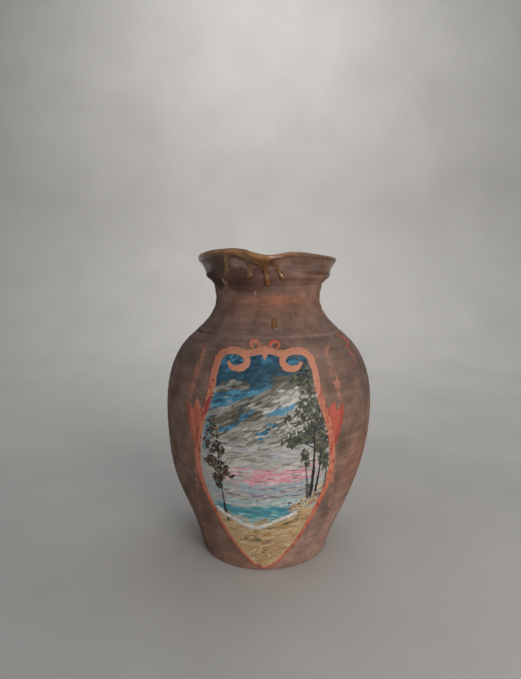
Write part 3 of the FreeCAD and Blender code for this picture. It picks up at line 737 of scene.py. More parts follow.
def distance_to(line, x, z):
    """Distance from each point to a line, and how far along the line (0 to 1) the nearest place is. Points
    further than REACH outside the line's box are given that distance."""
    low, high = line.min(0) - REACH, line.max(0) + REACH
    near = (x > low[0]) & (x < high[0]) & (z > low[1]) & (z < high[1])
    if not near.all():
        best, along = np.full(x.shape, REACH), np.zeros(x.shape)
        best[near], along[near] = distance_to(line, x[near], z[near])
        return best, along
    starts, steps = line[:-1], np.diff(line, axis=0)
    lengths = np.maximum(np.hypot(*steps.T), 1e-9)
    before = np.concatenate([[0], np.cumsum(lengths)])
    best, along = np.full(np.shape(x), 1e9), np.zeros(np.shape(x))
    for start, step, length, done in zip(starts, steps, lengths, before):
        t = np.clip(((x - start[0]) * step[0] + (z - start[1]) * step[1]) / length ** 2, 0, 1)
        away = np.hypot(x - start[0] - t * step[0], z - start[1] - t * step[1])
        closer = away < best
        best = np.where(closer, away, best)
        along = np.where(closer, (done + t * length) / before[-1], along)
    return best, along


def within(polygon, x, z):
    """Signed distance to a closed outline: positive inside it."""
    closed = np.concatenate([polygon, polygon[:1]])
    inside_it = np.zeros(np.shape(x), bool)
    for (x0, z0), (x1, z1) in zip(closed[:-1], closed[1:]):
        if z0 != z1:
            inside_it ^= ((z0 > z) != (z1 > z)) & (x < (x1 - x0) * (z - z0) / (z1 - z0) + x0)
    away, _ = distance_to(closed, x, z)
    return np.where(inside_it, away, -away)


def panel_outline():
    left, right = curve(mirrored(PANEL_EDGE, -1)), curve(mirrored(PANEL_EDGE, 1))
    crest = curve(mirrored([PANEL_SHOULDER], -1) + mirrored(CREST_LINE, 1) + mirrored([PANEL_SHOULDER], 1))
    return np.concatenate([left, crest, right[::-1]])


# ---- the picture: brush strokes on a canvas, in the plane seen from the front ----
CELL = 0.45                                          # the canvas is a grid of cells this wide
CANVAS_X, CANVAS_Z = np.arange(-70, 62, CELL), np.arange(0, 222, CELL)
HUES = {
    "night": (0.020, 0.060, 0.092), "deep": (0.032, 0.095, 0.145), "azure": (0.055, 0.195, 0.300),
    "bright": (0.085, 0.29, 0.43), "storm": (0.066, 0.074, 0.064), "taupe": (0.128, 0.108, 0.079),
    "stone": (0.26, 0.252, 0.22), "dove": (0.38, 0.368, 0.33), "pearl": (0.54, 0.52, 0.475),
    "white": (0.74, 0.72, 0.67), "rose": (0.60, 0.265, 0.31), "blush": (0.60, 0.39, 0.40),
    "mauve": (0.24, 0.17, 0.21), "haze": (0.37, 0.37, 0.395), "mist": (0.27, 0.36, 0.41),
    "sea": (0.075, 0.28, 0.33), "shallow": (0.33, 0.50, 0.50), "teal": (0.04, 0.185, 0.235),
    "sand": (0.50, 0.335, 0.18), "straw": (0.58, 0.43, 0.25), "ochre": (0.40, 0.25, 0.11),
    "weed": (0.085, 0.10, 0.05), "clay": (0.29, 0.165, 0.12)}
PASSAGES = [
    # Path of the passage, spread, strokes, length, width, slant in degrees, colours, thickness of the paint.
    # The night sky, its storm clouds, and the blue that shows between them:
    ([(-50, 205), (42, 205)], 9, 260, 9, 4.0, 18, "night deep deep azure", 0.22),
    ([(-50, 190), (42, 196)], 7, 190, 8, 3.6, 20, "night night deep", 0.22),
    ([(-40, 203), (-26, 208)], 5, 30, 6, 2.4, 40, "azure deep bright", 0.26),
    ([(22, 206), (38, 200)], 5, 34, 6, 2.4, -40, "azure deep taupe", 0.26),
    ([(-45, 178), (-30, 187), (-18, 184)], 3.5, 34, 8, 3.5, 20, "taupe storm stone", 0.30),
    ([(4, 184), (22, 189), (38, 190)], 4.5, 150, 11, 2.8, 15, "storm storm taupe", 0.30),
    ([(-54, 164), (-40, 173), (-14, 181), (12, 178)], 3.2, 130, 11, 3.2, 16, "azure bright azure deep", 0.28),
    # the great banks of cloud, with gaps of blue and bright edges:
    ([(-52, 148), (-30, 158), (4, 172), (40, 176)], 7.5, 540, 18, 2.5, 28,
     "taupe stone taupe stone storm", 0.30),
    ([(-44, 132), (-10, 148), (30, 158)], 8, 480, 18, 2.3, 24, "stone taupe dove stone", 0.30),
    ([(6, 176), (26, 180), (40, 172)], 4.5, 60, 9, 2.2, 18, "dove pearl stone", 0.38),
    ([(-56, 130), (-52, 146), (-54, 158)], 3, 40, 8, 2.4, 40, "azure bright stone", 0.28),
    ([(-42, 146), (-32, 152), (-15, 165)], 1.6, 26, 8, 2.0, 32, "azure bright deep", 0.30),
    ([(-2, 163), (20, 169)], 1.7, 22, 9, 2.4, 14, "azure bright", 0.30),
    ([(-9, 146), (4, 152)], 3.2, 26, 6, 2.8, 25, "azure azure deep", 0.32),
    ([(-16, 170), (0, 166), (24, 175)], 1.5, 26, 7, 1.8, 18, "pearl dove", 0.42),
    ([(-24, 142), (-12, 146), (14, 156), (30, 158)], 3.5, 30, 7, 1.4, 25, "pearl dove pearl", 0.46),
    # pale cloud above the horizon, with the evening pink and the haze below it:
    ([(-52, 128), (0, 130), (46, 134)], 6, 300, 15, 3.2, 7, "dove stone pearl dove haze", 0.28),
    ([(-50, 116), (46, 120)], 4.5, 240, 16, 2.6, 3, "dove stone dove pearl haze", 0.28),
    ([(-40, 108), (38, 110)], 4.5, 170, 15, 2.2, 2, "blush dove haze rose", 0.28),
    ([(-10, 107), (30, 112)], 2.2, 60, 15, 1.8, 3, "rose rose blush", 0.34),
    ([(-16, 101), (32, 104)], 2.4, 80, 15, 2.0, 2, "rose rose blush", 0.34),
    ([(-52, 96), (40, 98)], 3.0, 130, 13, 2.2, -2, "haze dove mist", 0.28),
    ([(-46, 88), (36, 90)], 3.6, 200, 12, 2.2, 0, "haze mist haze dove mauve", 0.28),
    ([(-34, 90), (-6, 88)], 1.8, 16, 6, 1.5, -8, "mauve mauve haze", 0.28),
    ([(-44, 81), (32, 82)], 2.0, 130, 12, 1.8, 0, "mist pearl dove shallow", 0.32),
    # the sea, and the bright line along the horizon:
    ([(-44, 72), (22, 73)], 2.6, 130, 12, 2.2, 0, "sea sea teal", 0.26),
    ([(-34, 66), (14, 67)], 2.6, 120, 10, 2.2, 2, "sea sea shallow", 0.26),
    ([(-26, 61), (4, 62)], 2.4, 80, 8, 2.0, 0, "shallow sea shallow", 0.28),
    ([(-42, 78.5), (24, 78)], 0.7, 30, 10, 1.0, 0, "pearl shallow", 0.34),
    # the bank at the right, the sand and its weeds:
    ([(20, 72), (36, 80), (52, 92)], 4.5, 90, 10, 2.6, 28, "straw sand clay dove", 0.30),
    ([(-44, 64), (-30, 54), (-10, 46), (16, 54), (34, 66)], 5.5, 240, 11, 2.8, 12,
     "sand straw ochre sand", 0.30),
    ([(-26, 38), (18, 40)], 9, 260, 10, 2.8, 14, "sand ochre straw sand", 0.30),
    ([(-12, 18), (4, 20)], 8, 130, 9, 2.8, 22, "sand straw ochre", 0.30),
    ([(-6, 8), (-2, 12)], 3, 30, 6, 2.4, 40, "sand ochre", 0.30),
    ([(-14, 50), (8, 55), (26, 62)], 1.5, 30, 6, 1.3, 24, "weed ochre weed", 0.34),
    ([(-24, 40), (6, 36)], 4, 40, 7, 1.3, 12, "weed clay ochre", 0.30),
    ([(-12, 22), (10, 30)], 5, 26, 5, 1.2, 28, "weed ochre clay", 0.30),
    # dark dabs behind the foliage:
    ([(40, 190), (26, 186), (44, 174)], 5, 36, 5, 2.0, 60, "storm weed taupe", 0.30),
    ([(28, 164), (44, 160), (34, 146), (46, 136), (48, 116)], 5, 100, 5, 2.2, 50,
     "storm weed storm taupe", 0.30),
    ([(16, 146), (28, 142)], 2.5, 26, 5, 2.0, 20, "weed storm taupe", 0.30),
    ([(-52, 146), (-46, 132), (-42, 112), (-44, 96)], 2.6, 26, 4, 1.6, 60, "storm taupe stone", 0.30)]
SKY_STREAKS = 90
SHORE, NIGHTFALL = 72.0, 184.0                       # the ground coat is sand below, deep blue above


class Canvas:
    """Colour and thickness of the wet paint, over a ground coat of sand, dove grey and deep blue."""

    def __init__(self):
        self.colour = np.empty((len(CANVAS_Z), len(CANVAS_X), 3))
        self.colour[:] = HUES["dove"]
        self.colour[CANVAS_Z < SHORE] = HUES["sand"]
        self.colour[CANVAS_Z > NIGHTFALL] = HUES["deep"]
        self.depth = np.full(self.colour.shape[:2], 0.1)

    def brush(self, x, z, length, width, slant, colour, raised, seed):
        """One stroke of a flat brush, which runs dry towards its end."""
        reach = (length + width) / 2 + CELL
        column, row = int((x - reach - CANVAS_X[0]) / CELL), int((z - reach) / CELL)
        size = int(2 * reach / CELL) + 1
        rows, columns = (slice(max(start, 0), max(start + size, 0)) for start in (row, column))
        dx, dz = CANVAS_X[None, columns] - x, CANVAS_Z[rows, None] - z
        cos, sin = math.cos(slant), math.sin(slant)
        along, across = dx * cos + dz * sin, dz * cos - dx * sin
        if along.size == 0:
            return
        bowed = 0.06 * length * ((along / length) ** 2 * 4 - 0.5)
        across = across + (bowed if seed % 2 else -bowed)
        hair = noise(across / 0.55 + 100, along / 7 + 50, seed % 97)
        edge = np.hypot(along / (length / 2), across / (width / 2) * (1 + 0.25 * hair)) ** 0.75
        dry_end = smoothstep(-1.25, 0.1, hair + 0.75 - along / length * 1.3)
        cover = (1 - smoothstep(0.72, 1.02, edge)) * dry_end
        streaked = colour * (1 + 0.09 * hair)[..., None]
        self.colour[rows, columns] += (streaked - self.colour[rows, columns]) * cover[..., None]
        self.depth[rows, columns] += (raised * (0.72 + 0.28 * hair) - self.depth[rows, columns]) * cover

    def passage(self, draw, path, spread_out, count, length, width, slant, hues, raised):
        """Strokes laid at random along a path."""
        way = np.array(path, float)
        names = hues.split()
        for _ in range(count):
            along = draw.random() * (len(way) - 1)
            x = np.interp(along, np.arange(len(way)), way[:, 0]) + draw.normal(0, spread_out * 0.4)
            z = np.interp(along, np.arange(len(way)), way[:, 1]) + draw.normal(0, spread_out * 0.75)
            colour = np.array(HUES[names[draw.integers(len(names))]]) * draw.uniform(0.85, 1.15)
            turn = math.radians(slant + draw.normal(0, 7))
            size = draw.uniform(0.6, 1.3)
            self.brush(x, z, length * size, width * draw.uniform(0.7, 1.2), turn, colour,
                       raised * draw.uniform(0.7, 1.3), int(draw.integers(1000)))

    def read(self, layer, x, z):
        """Value of the canvas at each point, blended between its cells."""
        column = np.clip((x - CANVAS_X[0]) / CELL, 0, len(CANVAS_X) - 1.001)
        row = np.clip(z / CELL, 0, len(CANVAS_Z) - 1.001)
        i, j = row.astype(int), column.astype(int)
        fi, fj = row - i, column - j
        if layer.ndim == 3:
            fi, fj = fi[..., None], fj[..., None]
        return ((layer[i, j] * (1 - fj) + layer[i, j + 1] * fj) * (1 - fi)
                + (layer[i + 1, j] * (1 - fj) + layer[i + 1, j + 1] * fj) * fi)


def paint_picture():
    """The passages in turn, then thin light and dark streaks over the lower sky."""
    canvas = Canvas()
    draw = np.random.default_rng(61)
    for passage in PASSAGES:
        canvas.passage(draw, *passage)
    for _ in range(SKY_STREAKS):
        light = draw.random() < 0.55
        colour = np.array(HUES["pearl" if light else "taupe"]) * draw.uniform(0.9, 1.1)
        canvas.brush(draw.uniform(-50, 40), draw.uniform(84, 140), draw.uniform(4, 14),
                     draw.uniform(0.8, 1.5), math.radians(draw.normal(3, 3)), colour, 0.38,
                     int(draw.integers(1000)))
    return canvas


# ---- pieces of paint ----
FRONT_ANGLE = np.radians(np.arange(-78, 80.1, 0.33))
FRONT_Z = np.arange(0.8, 231, 0.52)


class Front:
    """The painted side of the body: a grid of points, and where each is seen from the front."""

    def __init__(self):
        self.points, self.normals = body_points(FRONT_ANGLE[None, :], FRONT_Z[:, None])
        self.x, self.z = self.points[..., 0], self.points[..., 2]

    def place(self, x, z):
        """Points and normals of the body at places given as seen from the front."""
        x, z = np.asarray(x, float), np.asarray(z, float)
        angle = np.arcsin(np.clip((x - lean(z)) / outer_radius(z), -0.995, 0.995))
        return body_points(angle, z)


def speckled(front, size, seed):
    """Noise in the plane seen from the front, in patches of one size."""
    return noise(front.x / size + 90, front.z / size, seed)


def brushed(front, centre, widths, seed, dry=0.25, ragged=0.5):
    """Cover and thickness of one long stroke whose width changes along it; its hairs run along it."""
    line_points = curve(centre)
    away, along = distance_to(line_points, front.x, front.z)
    half = spaced(along, widths) / 2
    half = half * (1 + 0.14 * noise(along * 30, 0.5, seed))
    half = half + ragged * (0.35 * speckled(front, 2.2, seed + 1) + 0.25 * speckled(front, 0.9, seed + 2))
    beside = away * np.sign(front.x - spaced(along, line_points[:, 0]))
    hair = noise(beside / 0.8 + 60, along * 6 + 20, seed + 3)
    thin = 0.5 + 0.3 * hair + 0.4 * speckled(front, 3.5, seed + 4)
    cover = smoothstep(0.45, -0.4, away - half) * (1 - dry * np.clip(thin, 0, 1))
    return cover, 0.14 + 0.09 * hair


def merge(*strokes):
    """Strokes laid together; where they cross, the one that covers more gives the thickness."""
    cover, depth = strokes[0]
    for other_cover, other_depth in strokes[1:]:
        depth = np.where(other_cover > cover, other_depth, depth)
        cover = np.maximum(cover, other_cover)
    return cover, depth


def mottled(front, light, dark, seed, scale=7.0):
    amount = 0.5 + 0.5 * noise(front.x / scale + 70, front.z / (scale * 1.7), seed)
    amount = 0.6 * amount + 0.4 * (0.5 + 0.5 * noise(front.x / 1.6 + 70, front.z / 3.5, seed + 1))
    return np.array(dark) + (np.array(light) - np.array(dark)) * amount[..., None]


ORANGE, ORANGE_DEEP, ORANGE_PALE = np.array([(0.60, 0.225, 0.135), (0.44, 0.150, 0.085), (0.66, 0.31, 0.205)])
RED, RED_DEEP = np.array([(0.56, 0.10, 0.06), (0.24, 0.026, 0.02)])
LEAF_COLOURS = {-1: (ORANGE, (0.46, 0.13, 0.075)), 1: ((0.50, 0.125, 0.078), (0.42, 0.07, 0.045))}
LEAF_VEIN, LEAF_RIB = [(54, 167), (56, 152), (60, 136), (57, 124)], [(68, 165), (66.5, 150), (61.5, 134)]
SIDES = ((-1, "left"), (1, "right"))


def make_picture(front, material):
    canvas = paint_picture()
    colour, depth = canvas.read(canvas.colour, front.x, front.z), canvas.read(canvas.depth, front.x, front.z)
    ragged = 0.5 * noise(front.x / 1.8 + 40, front.z / 1.8, 71)
    cover = smoothstep(-0.7, 0.8, within(panel_outline(), front.x, front.z) + 0.6 + ragged)
    shore = within(curve(SEA, True), front.x, front.z) + 0.6 * noise(front.x / 2.5 + 40, front.z / 2.5, 72)
    skyline = np.interp(front.x, *np.array(HORIZON, float).T)
    above = front.z > skyline
    for name, mask, slot, node in (("sky_picture", above & (shore < 0), "sky_paint", "sky_paint"),
                                   ("sea_picture", shore >= 0, "sea_paint", "sea_paint"),
                                   ("sand_picture", ~above & (shore < 0), "sand_paint", "sand_paint")):
        joined = mask.astype(float)
        grown = np.maximum.reduce([joined, np.roll(joined, 1, 0), np.roll(joined, 1, 1),
                                   np.roll(np.roll(joined, 1, 0), 1, 1)])
        paint_piece(front, name, cover * (grown > 0), depth, colour, material, slot, 0.12, node)


def make_foam(front, material):
    away, along = distance_to(curve(FOAM), front.x, front.z)
    width = 1.2 + 1.5 * (0.5 + 0.5 * noise(along * 14, 0.3, 81))
    lumps = noise(front.x / 1.3 + 50, front.z, 82) + 0.5 * noise(front.x / 0.7 + 50, front.z / 0.7, 83)
    cover = smoothstep(0.6, -0.5, away - width - 0.8 * lumps) * smoothstep(-1.4, -0.5, lumps)
    colour = mottled(front, HUES["white"], HUES["pearl"], 84, 2.0)
    paint_piece(front, "foam_strokes", cover, 0.4 + 0.16 * lumps, colour, material, "white_paint", 0.3,
                "foam_paint")


def border_tone(front, seed):
    """Salmon paint, paler at the top and redder low down, with dark touches where the brush was loaded."""
    colour = mottled(front, ORANGE, ORANGE_DEEP, seed)
    colour = blend_to(colour, ORANGE_PALE, smoothstep(160, 200, front.z) * np.where(front.x < -36, 0.1, 0.45))
    low_down = smoothstep(120, 92, front.z) * (0.55 + 0.35 * speckled(front, 6, seed + 1))
    colour = blend_to(colour, RED, low_down)
    streaks = speckled(front, 3.2, seed + 2) + 0.5 * noise(front.x / 0.9 + 70, front.z / 6, seed + 3)
    streaks = streaks + 0.9 * np.exp(-((front.x + 54) / 6) ** 2 - ((front.z - 168) / 12) ** 2)
    touched = smoothstep(0.35, 0.8, streaks)
    return blend_to(colour, RED_DEEP, 0.7 * touched * (front.z < 190))


def make_border(front, material):
    strokes = []
    for side in (-1, 1):
        strokes.append(brushed(front, mirrored(PANEL_EDGE, side), EDGE_WIDTHS[side], 90 + side, 0.26))
        strokes.append(brushed(front, spiral(side), VOLUTE_WIDTHS, 94 + side, 0.25))
    strokes.append(brushed(front, mirrored(CREST_LINE, 1), CREST_WIDTHS, 97, 0.3))
    strokes.append(brushed(front, mirrored(CREST_POINT, 1), [7.2, 4.0, 0.6], 99, 0.2))
    cover, depth = merge(*strokes)
    paint_piece(front, "border_strokes", cover, depth, border_tone(front, 98), material, "orange_paint", 0.34,
                "border_paint")


def make_crest(front, material):
    """Two small curls on the crest, the left one rubbed and blurred, the right one edged with red."""
    along = np.linspace(0, 1, 7)
    turn, reach = np.radians(200 - 260 * along), 5.4 - 3.2 * along
    strokes = []
    for side, width, dry, ragged in ((-1, 3.8, 0.75, 1.6), (1, 2.8, 0.4, 0.8)):
        centre = np.stack([PANEL_X + side * (CURL_SPACING + reach * np.cos(turn)),
                           CURL_HEIGHT + reach * 0.75 * np.sin(turn)], -1)
        strokes.append(brushed(front, centre, [width, width * 0.7], 101 + side, dry, ragged))
    cover, depth = merge(*strokes)
    colour = mottled(front, ORANGE, ORANGE_DEEP, 103)
    away, _ = distance_to(curve(centre), front.x, front.z)
    red = smoothstep(1.2, 0.4, away + 0.4 * speckled(front, 1.2, 104))
    colour = blend_to(colour, RED, 0.85 * red)
    paint_piece(front, "crest_strokes", cover, depth, colour, material, "orange_paint", 0.26, "crest_paint")


def make_leaves(front, material):
    """A broad leaf on each side, in upright strokes of orange and red that run dry at its tips."""
    for side, name in SIDES:
        light, dark = LEAF_COLOURS[side]
        leaf = within(np.array(mirrored(LEAF, side)), front.x, front.z)
        hair = noise(front.x + 60, front.z / 14, 110 + side)
        coarse = noise(front.x / 2.6 + 60, front.z / 22, 114 + side)
        edge = leaf + 0.3 + 0.6 * hair + 0.5 * speckled(front, 2.0, 116)
        dry = np.clip(0.35 + 0.4 * hair + 0.3 * smoothstep(158, 170, front.z), 0, 1)
        cover = smoothstep(-0.4, 0.7, edge) * (1 - 0.5 * dry)
        vein, rib = (distance_to(curve(mirrored(line, side)), front.x, front.z)[0]
                     for line in (LEAF_VEIN, LEAF_RIB))
        loaded = np.clip(smoothstep(1.8, 0.3, vein + hair) + 0.7 * smoothstep(2.2, 0.5, rib + hair), 0, 1)
        colour = blend_to(mottled(front, light, dark, 112), np.array(dark), smoothstep(-0.2, 0.6, coarse))
        colour = blend_to(colour, RED_DEEP, loaded * (0.75 if side < 0 else 0.5))
        depth = 0.2 + 0.1 * hair
        paint_piece(front, name + "_leaf_strokes", cover, depth, colour, material, "red_paint", 0.28,
                    name + "_leaf_paint")


# The faded strokes at each side, one high, one low and a hook: line, widths, first seed, dryness, raggedness.
FLOURISH = [
    ([(54, 212), (59, 196), (64, 182), (66.5, 172), (65.5, 161)], [3.2, 5.4, 6.4, 5.6, 3.6], 120, 0.85, 1.6),
    ([(61, 124), (61, 96), (60, 70), (60.5, 44), (54, 12)], [5.2, 4.6, 3.6, 2.6, 1.6], 125, 0.85, 1.6),
    ([(64, 214.5), (58, 215), (54, 211)], [1.4, 2.6, 2.6], 130, 0.8, 2.0)]


def make_flourishes(front, material):
    """Faded upright strokes outside the panel, most of their paint rubbed off."""
    for side, name in SIDES:
        cover, depth = merge(*[brushed(front, mirrored(line, side), widths, seed + side, dry, ragged)
                               for line, widths, seed, dry, ragged in FLOURISH])
        cover = cover * (0.66 + 0.25 * noise(front.x / 4 + 50, front.z / 14, 136 + side))
        colour = mottled(front, (0.45, 0.20, 0.135), (0.36, 0.145, 0.095), 128)
        paint_piece(front, name + "_flourish_strokes", cover, depth * 0.4, colour, material, "orange_paint",
                    0.08, name + "_flourish_paint")


def make_tick(front, material):
    """Two small red hooks on the right shoulder."""
    upper = [(64, 221.5), (70, 219), (75, 216), (75.5, 213), (71, 211)]
    lower = [(74, 208), (79, 204), (80.5, 199), (76, 195)]
    cover, depth = merge(brushed(front, upper, [1.0, 1.6, 2.2, 2.0, 1.2], 140, 0.7, 1.2),
                         brushed(front, lower, [1.0, 1.8, 2.0, 1.2], 145, 0.75, 1.2))
    colour = mottled(front, (0.50, 0.11, 0.075), (0.36, 0.08, 0.05), 136)
    paint_piece(front, "shoulder_tick_strokes", cover, depth, colour, material, "red_paint", 0.1,
                "shoulder_tick_paint")


# ---- trees: dabs and ridges of thick paint ----
DAB_SIDES = 10


def domes(front, name, dabs, material, slot, node):
    """Dabs of thick paint, each a closed dome on the body: (x, z, length, width, slant, height, colour)."""
    x, z, length, width, slant, height = np.array([dab[:6] for dab in dabs]).T[..., None]
    draw = np.random.default_rng(len(dabs))
    rim, turn = DAB_SIDES, full_turn(DAB_SIDES)
    uneven = 1 + 0.22 * draw.uniform(-1, 1, (len(dabs), rim))
    u, v = np.cos(turn) * length / 2 * uneven, np.sin(turn) * width / 2 * uneven
    du, dv = u * np.cos(slant) - v * np.sin(slant), u * np.sin(slant) + v * np.cos(slant)
    top_at = draw.uniform(-0.12, 0.12, (len(dabs), 2))
    # Five sets of points for each dab: its root, its edge, its shoulder, its top and the middle of its root.
    places = [(x + du, z + dv), (x + du, z + dv), (x + du * 0.72, z + dv * 0.72),
              (x + top_at[:, :1] * length, z + top_at[:, 1:] * width), (x, z)]
    rises = [-0.3, 0.28, 0.3 + height * 0.8, 0.3 + height, -0.3]
    points = []
    for (at_x, at_z), rise in zip(places, rises):
        base, normals = front.place(at_x, at_z)
        points.append(base + normals * np.broadcast_to(rise, at_x.shape)[..., None])
    points = np.concatenate(points, 1)
    per_dab = points.shape[1]
    k, after = np.arange(rim), (np.arange(rim) + 1) % rim
    walls = [np.stack([low + k, low + after, low + rim + after, low + rim + k], -1) for low in (0, rim)]
    fans = [np.stack([2 * rim + k, 2 * rim + after, np.full(rim, 3 * rim)], -1),
            np.stack([after, k, np.full(rim, 3 * rim + 1)], -1)]
    one = [(wall.tolist(), level == 1) for level, wall in enumerate(walls)] + [
        (fan.tolist(), level == 0) for level, fan in enumerate(fans)]
    faces, smooth = [], []
    for dab in range(len(dabs)):
        for group, is_smooth in one:
            faces.extend([tuple(corner + dab * per_dab for corner in face) for face in group])
            smooth.extend([is_smooth] * len(group))
    colours = np.array([dab[6] for dab in dabs])[:, None, :]
    colours = colours * (1 + 0.12 * draw.uniform(-1, 1, (len(dabs), per_dab, 1)))
    colours = np.clip(colours.reshape(-1, 3), 0, 1)
    points = points.reshape(-1, 3)
    full = {"cover": np.ones(len(points))}
    piece = new_object(name, points, faces, smooth, {"paint": colours, "clay": colours}, full)
    finish_piece(piece, material, slot, node)


def ridge_dabs(draw, path, widths, colour, height):
    """A branch or trunk as a row of long overlapping dabs."""
    line_points = curve(path, steps=6)
    steps = np.diff(line_points, axis=0)
    dabs = []
    for k, (start, step) in enumerate(zip(line_points[:-1], steps)):
        along = (k + 0.5) / len(steps)
        width = spaced(along, widths)
        length = float(np.hypot(*step)) * 1.5 + width * 0.5
        slant = math.atan2(step[1], step[0])
        tone = np.array(colour) * draw.uniform(0.8, 1.25)
        dabs.append((*(start + step / 2), length, width * draw.uniform(0.85, 1.15), slant, height, tone))
    return dabs


def foliage(draw, clumps, hues, size, height):
    """Dabs of leaves in clumps: (x, z, half width, half height, number). Those too near the panel's edge or
    beyond it are left out."""
    dabs = []
    for x, z, wide, tall, count in clumps:
        for _ in range(count):
            away, turn = math.sqrt(draw.random()), draw.uniform(0, 2 * math.pi)
            colour = np.array(hues[draw.integers(len(hues))]) * draw.uniform(0.7, 1.35)
            dabs.append((x + wide * away * math.cos(turn), z + tall * away * math.sin(turn),
                         size * draw.uniform(0.5, 1.4), size * draw.uniform(0.3, 0.75),
                         draw.uniform(0, math.pi), height * draw.uniform(0.5, 1.2), colour))
    clear = within(panel_outline(), *np.array([dab[:2] for dab in dabs]).T) > size
    return [dab for dab, keep in zip(dabs, clear) if keep]


LEAF_HUES = [(0.030, 0.038, 0.026), (0.050, 0.060, 0.034), (0.090, 0.092, 0.060), (0.022, 0.028, 0.024),
             (0.12, 0.105, 0.07)]
BROWN_HUES = [(0.045, 0.028, 0.020), (0.08, 0.045, 0.026), (0.026, 0.020, 0.016), (0.14, 0.095, 0.055),
              (0.045, 0.05, 0.028)]
BARK, BARK_LIGHT = (0.016, 0.016, 0.021), (0.085, 0.08, 0.078)


# Trunks and branches of each tree: line, widths, colour and thickness of the paint.
RIGHT_BRANCHES = [
    ([(31, 130), (31.5, 112), (33, 98), (33.5, 84)], (0.6, 1.6, 2.6), BARK_LIGHT, 0.28),
    ([(38, 150), (38.5, 130), (38, 108), (36, 86)], (0.8, 2.2, 3.4), BARK, 0.28),
    ([(44, 128), (43.5, 112), (42, 100), (40.5, 89)], (0.8, 1.8, 2.4), BARK, 0.28),
    ([(50, 112), (49.5, 102), (48.5, 92)], (0.8, 1.4, 1.8), BARK_LIGHT, 0.28),
    ([(38, 140), (30, 150), (22, 158)], (1.4, 1.0, 0.5), BARK, 0.28),
    ([(38, 146), (44, 158), (45, 170)], (1.4, 1.0, 0.5), BARK, 0.28),
    ([(38, 132), (28, 138), (16, 142)], (1.2, 0.9, 0.5), BARK, 0.28),
    ([(37, 158), (32, 172), (24, 184)], (1.2, 0.9, 0.5), BARK_LIGHT, 0.28)]
LEFT_BRANCHES = [
    ([(-44, 132), (-43, 112), (-41, 92), (-39, 76)], (0.6, 1.0, 1.2), BARK, 0.28),
    ([(-39.5, 78), (-38, 68), (-36, 58)], (1.6, 3.0, 1.6), BARK, 0.3),
    ([(-43, 112), (-50, 122), (-53, 134)], (1.0, 0.7, 0.4), BARK, 0.25),
    ([(-42, 104), (-36, 112), (-33, 120)], (0.9, 0.6, 0.4), BARK, 0.25)]
# Foliage of each tree: clumps, colours, size of a dab and thickness of the paint.
RIGHT_FOLIAGE = [
    ([(33, 166, 12, 9, 90), (22, 158, 9, 5, 40), (40, 150, 11, 8, 100), (30, 142, 13, 6, 84),
      (18, 138, 8, 4, 34), (45, 134, 7, 9, 80), (48, 120, 5, 9, 60), (36, 182, 10, 6, 46),
      (27, 190, 9, 5, 34), (42, 172, 5, 8, 54), (34, 198, 8, 5, 26), (40, 190, 3, 7, 24), (34, 94, 3, 4, 12),
      (31, 124, 4, 8, 24)],
     LEAF_HUES, 4.2, 0.24),
    ([(30, 164, 14, 12, 26), (22, 152, 10, 8, 30), (16, 148, 9, 5, 16)], [HUES["pearl"], HUES["dove"]],
     2.6, 0.4),
    ([(26, 80, 9, 3, 16), (40, 86, 7, 3, 14), (24, 74, 6, 2, 8)], LEAF_HUES[:2] + BROWN_HUES[:1], 2.0, 0.25)]
LEFT_FOLIAGE = [
    ([(-49, 144, 6, 5, 22), (-44, 130, 6, 7, 54), (-50, 118, 6, 5, 40), (-41, 113, 6, 6, 54),
      (-44, 104, 5, 5, 50), (-43, 96, 3, 4, 20), (-50, 152, 4, 5, 12), (-34, 108, 4, 3, 12),
      (-54, 134, 3, 5, 14)], BROWN_HUES, 3.4, 0.26),
    ([(-40, 122, 8, 12, 22), (-38, 106, 6, 6, 12)], [HUES["dove"], HUES["pearl"]], 2.2, 0.35)]


def make_tree(front, material, side, seed, branches, leaves):
    draw = np.random.default_rng(seed)
    dabs = []
    for branch in branches:
        dabs += ridge_dabs(draw, *branch)
    for clumps in leaves:
        dabs += foliage(draw, *clumps)
    domes(front, side + "_tree_dabs", dabs, material, "tree_paint", side + "_tree_paint")


# ---- glaze on the collar, the lip and the drips ----
GLAZE_ANGLE = full_turn(720)
AMBER, AMBER_DARK, AMBER_PALE = np.array([(0.50, 0.215, 0.062), (0.105, 0.040, 0.011), (0.56, 0.28, 0.115)])
MAUVE, MAUVE_DARK, GLAZE_STAIN = np.array([(0.235, 0.138, 0.110), (0.13, 0.062, 0.040), (0.20, 0.085, 0.030)])
MAUVE_PATCHES = [
    # angle, height, half width in degrees, half height
    (-27, 289, 7, 5), (-62, 287, 5, 4), (4, 281, 5, 4.5), (17, 283, 8, 4), (42, 285, 9, 4), (-9, 277, 6, 2.5),
    (100, 284, 14, 5), (170, 283, 18, 5), (-140, 285, 12, 5)]
# Strength, angle, distance below the crest, half width in degrees, half height.
BROWN_WASHES = [(1.0, 38, 9.5, 16, 5), (1.0, -62, 8, 14, 6), (0.8, -24, 12, 9, 7), (0.9, -70, 13, 18, 8)]
LIP_RUNS = 6                                         # where these first drips run, the amber hangs lower
DRIPS = [
    # start and end angle, top and bottom height, width, thickness
    (-4.5, 0.5, 293, 267.5, 6.5, 2.0), (3, 13, 290, 273.5, 6.0, 1.2), (-33, -40, 296, 277.5, 7.5, 0.9),
    (-44, -51, 276, 260.5, 9.0, 0.6), (-15, -17, 294, 275.5, 6.5, 0.8), (50, 58, 292, 279, 4.5, 0.9),
    (150, 153, 285, 266, 6.0, 1.5), (-118, -120, 287, 275, 6.0, 1.4), (5, 4, 241, 230.5, 6.5, 0.5)]


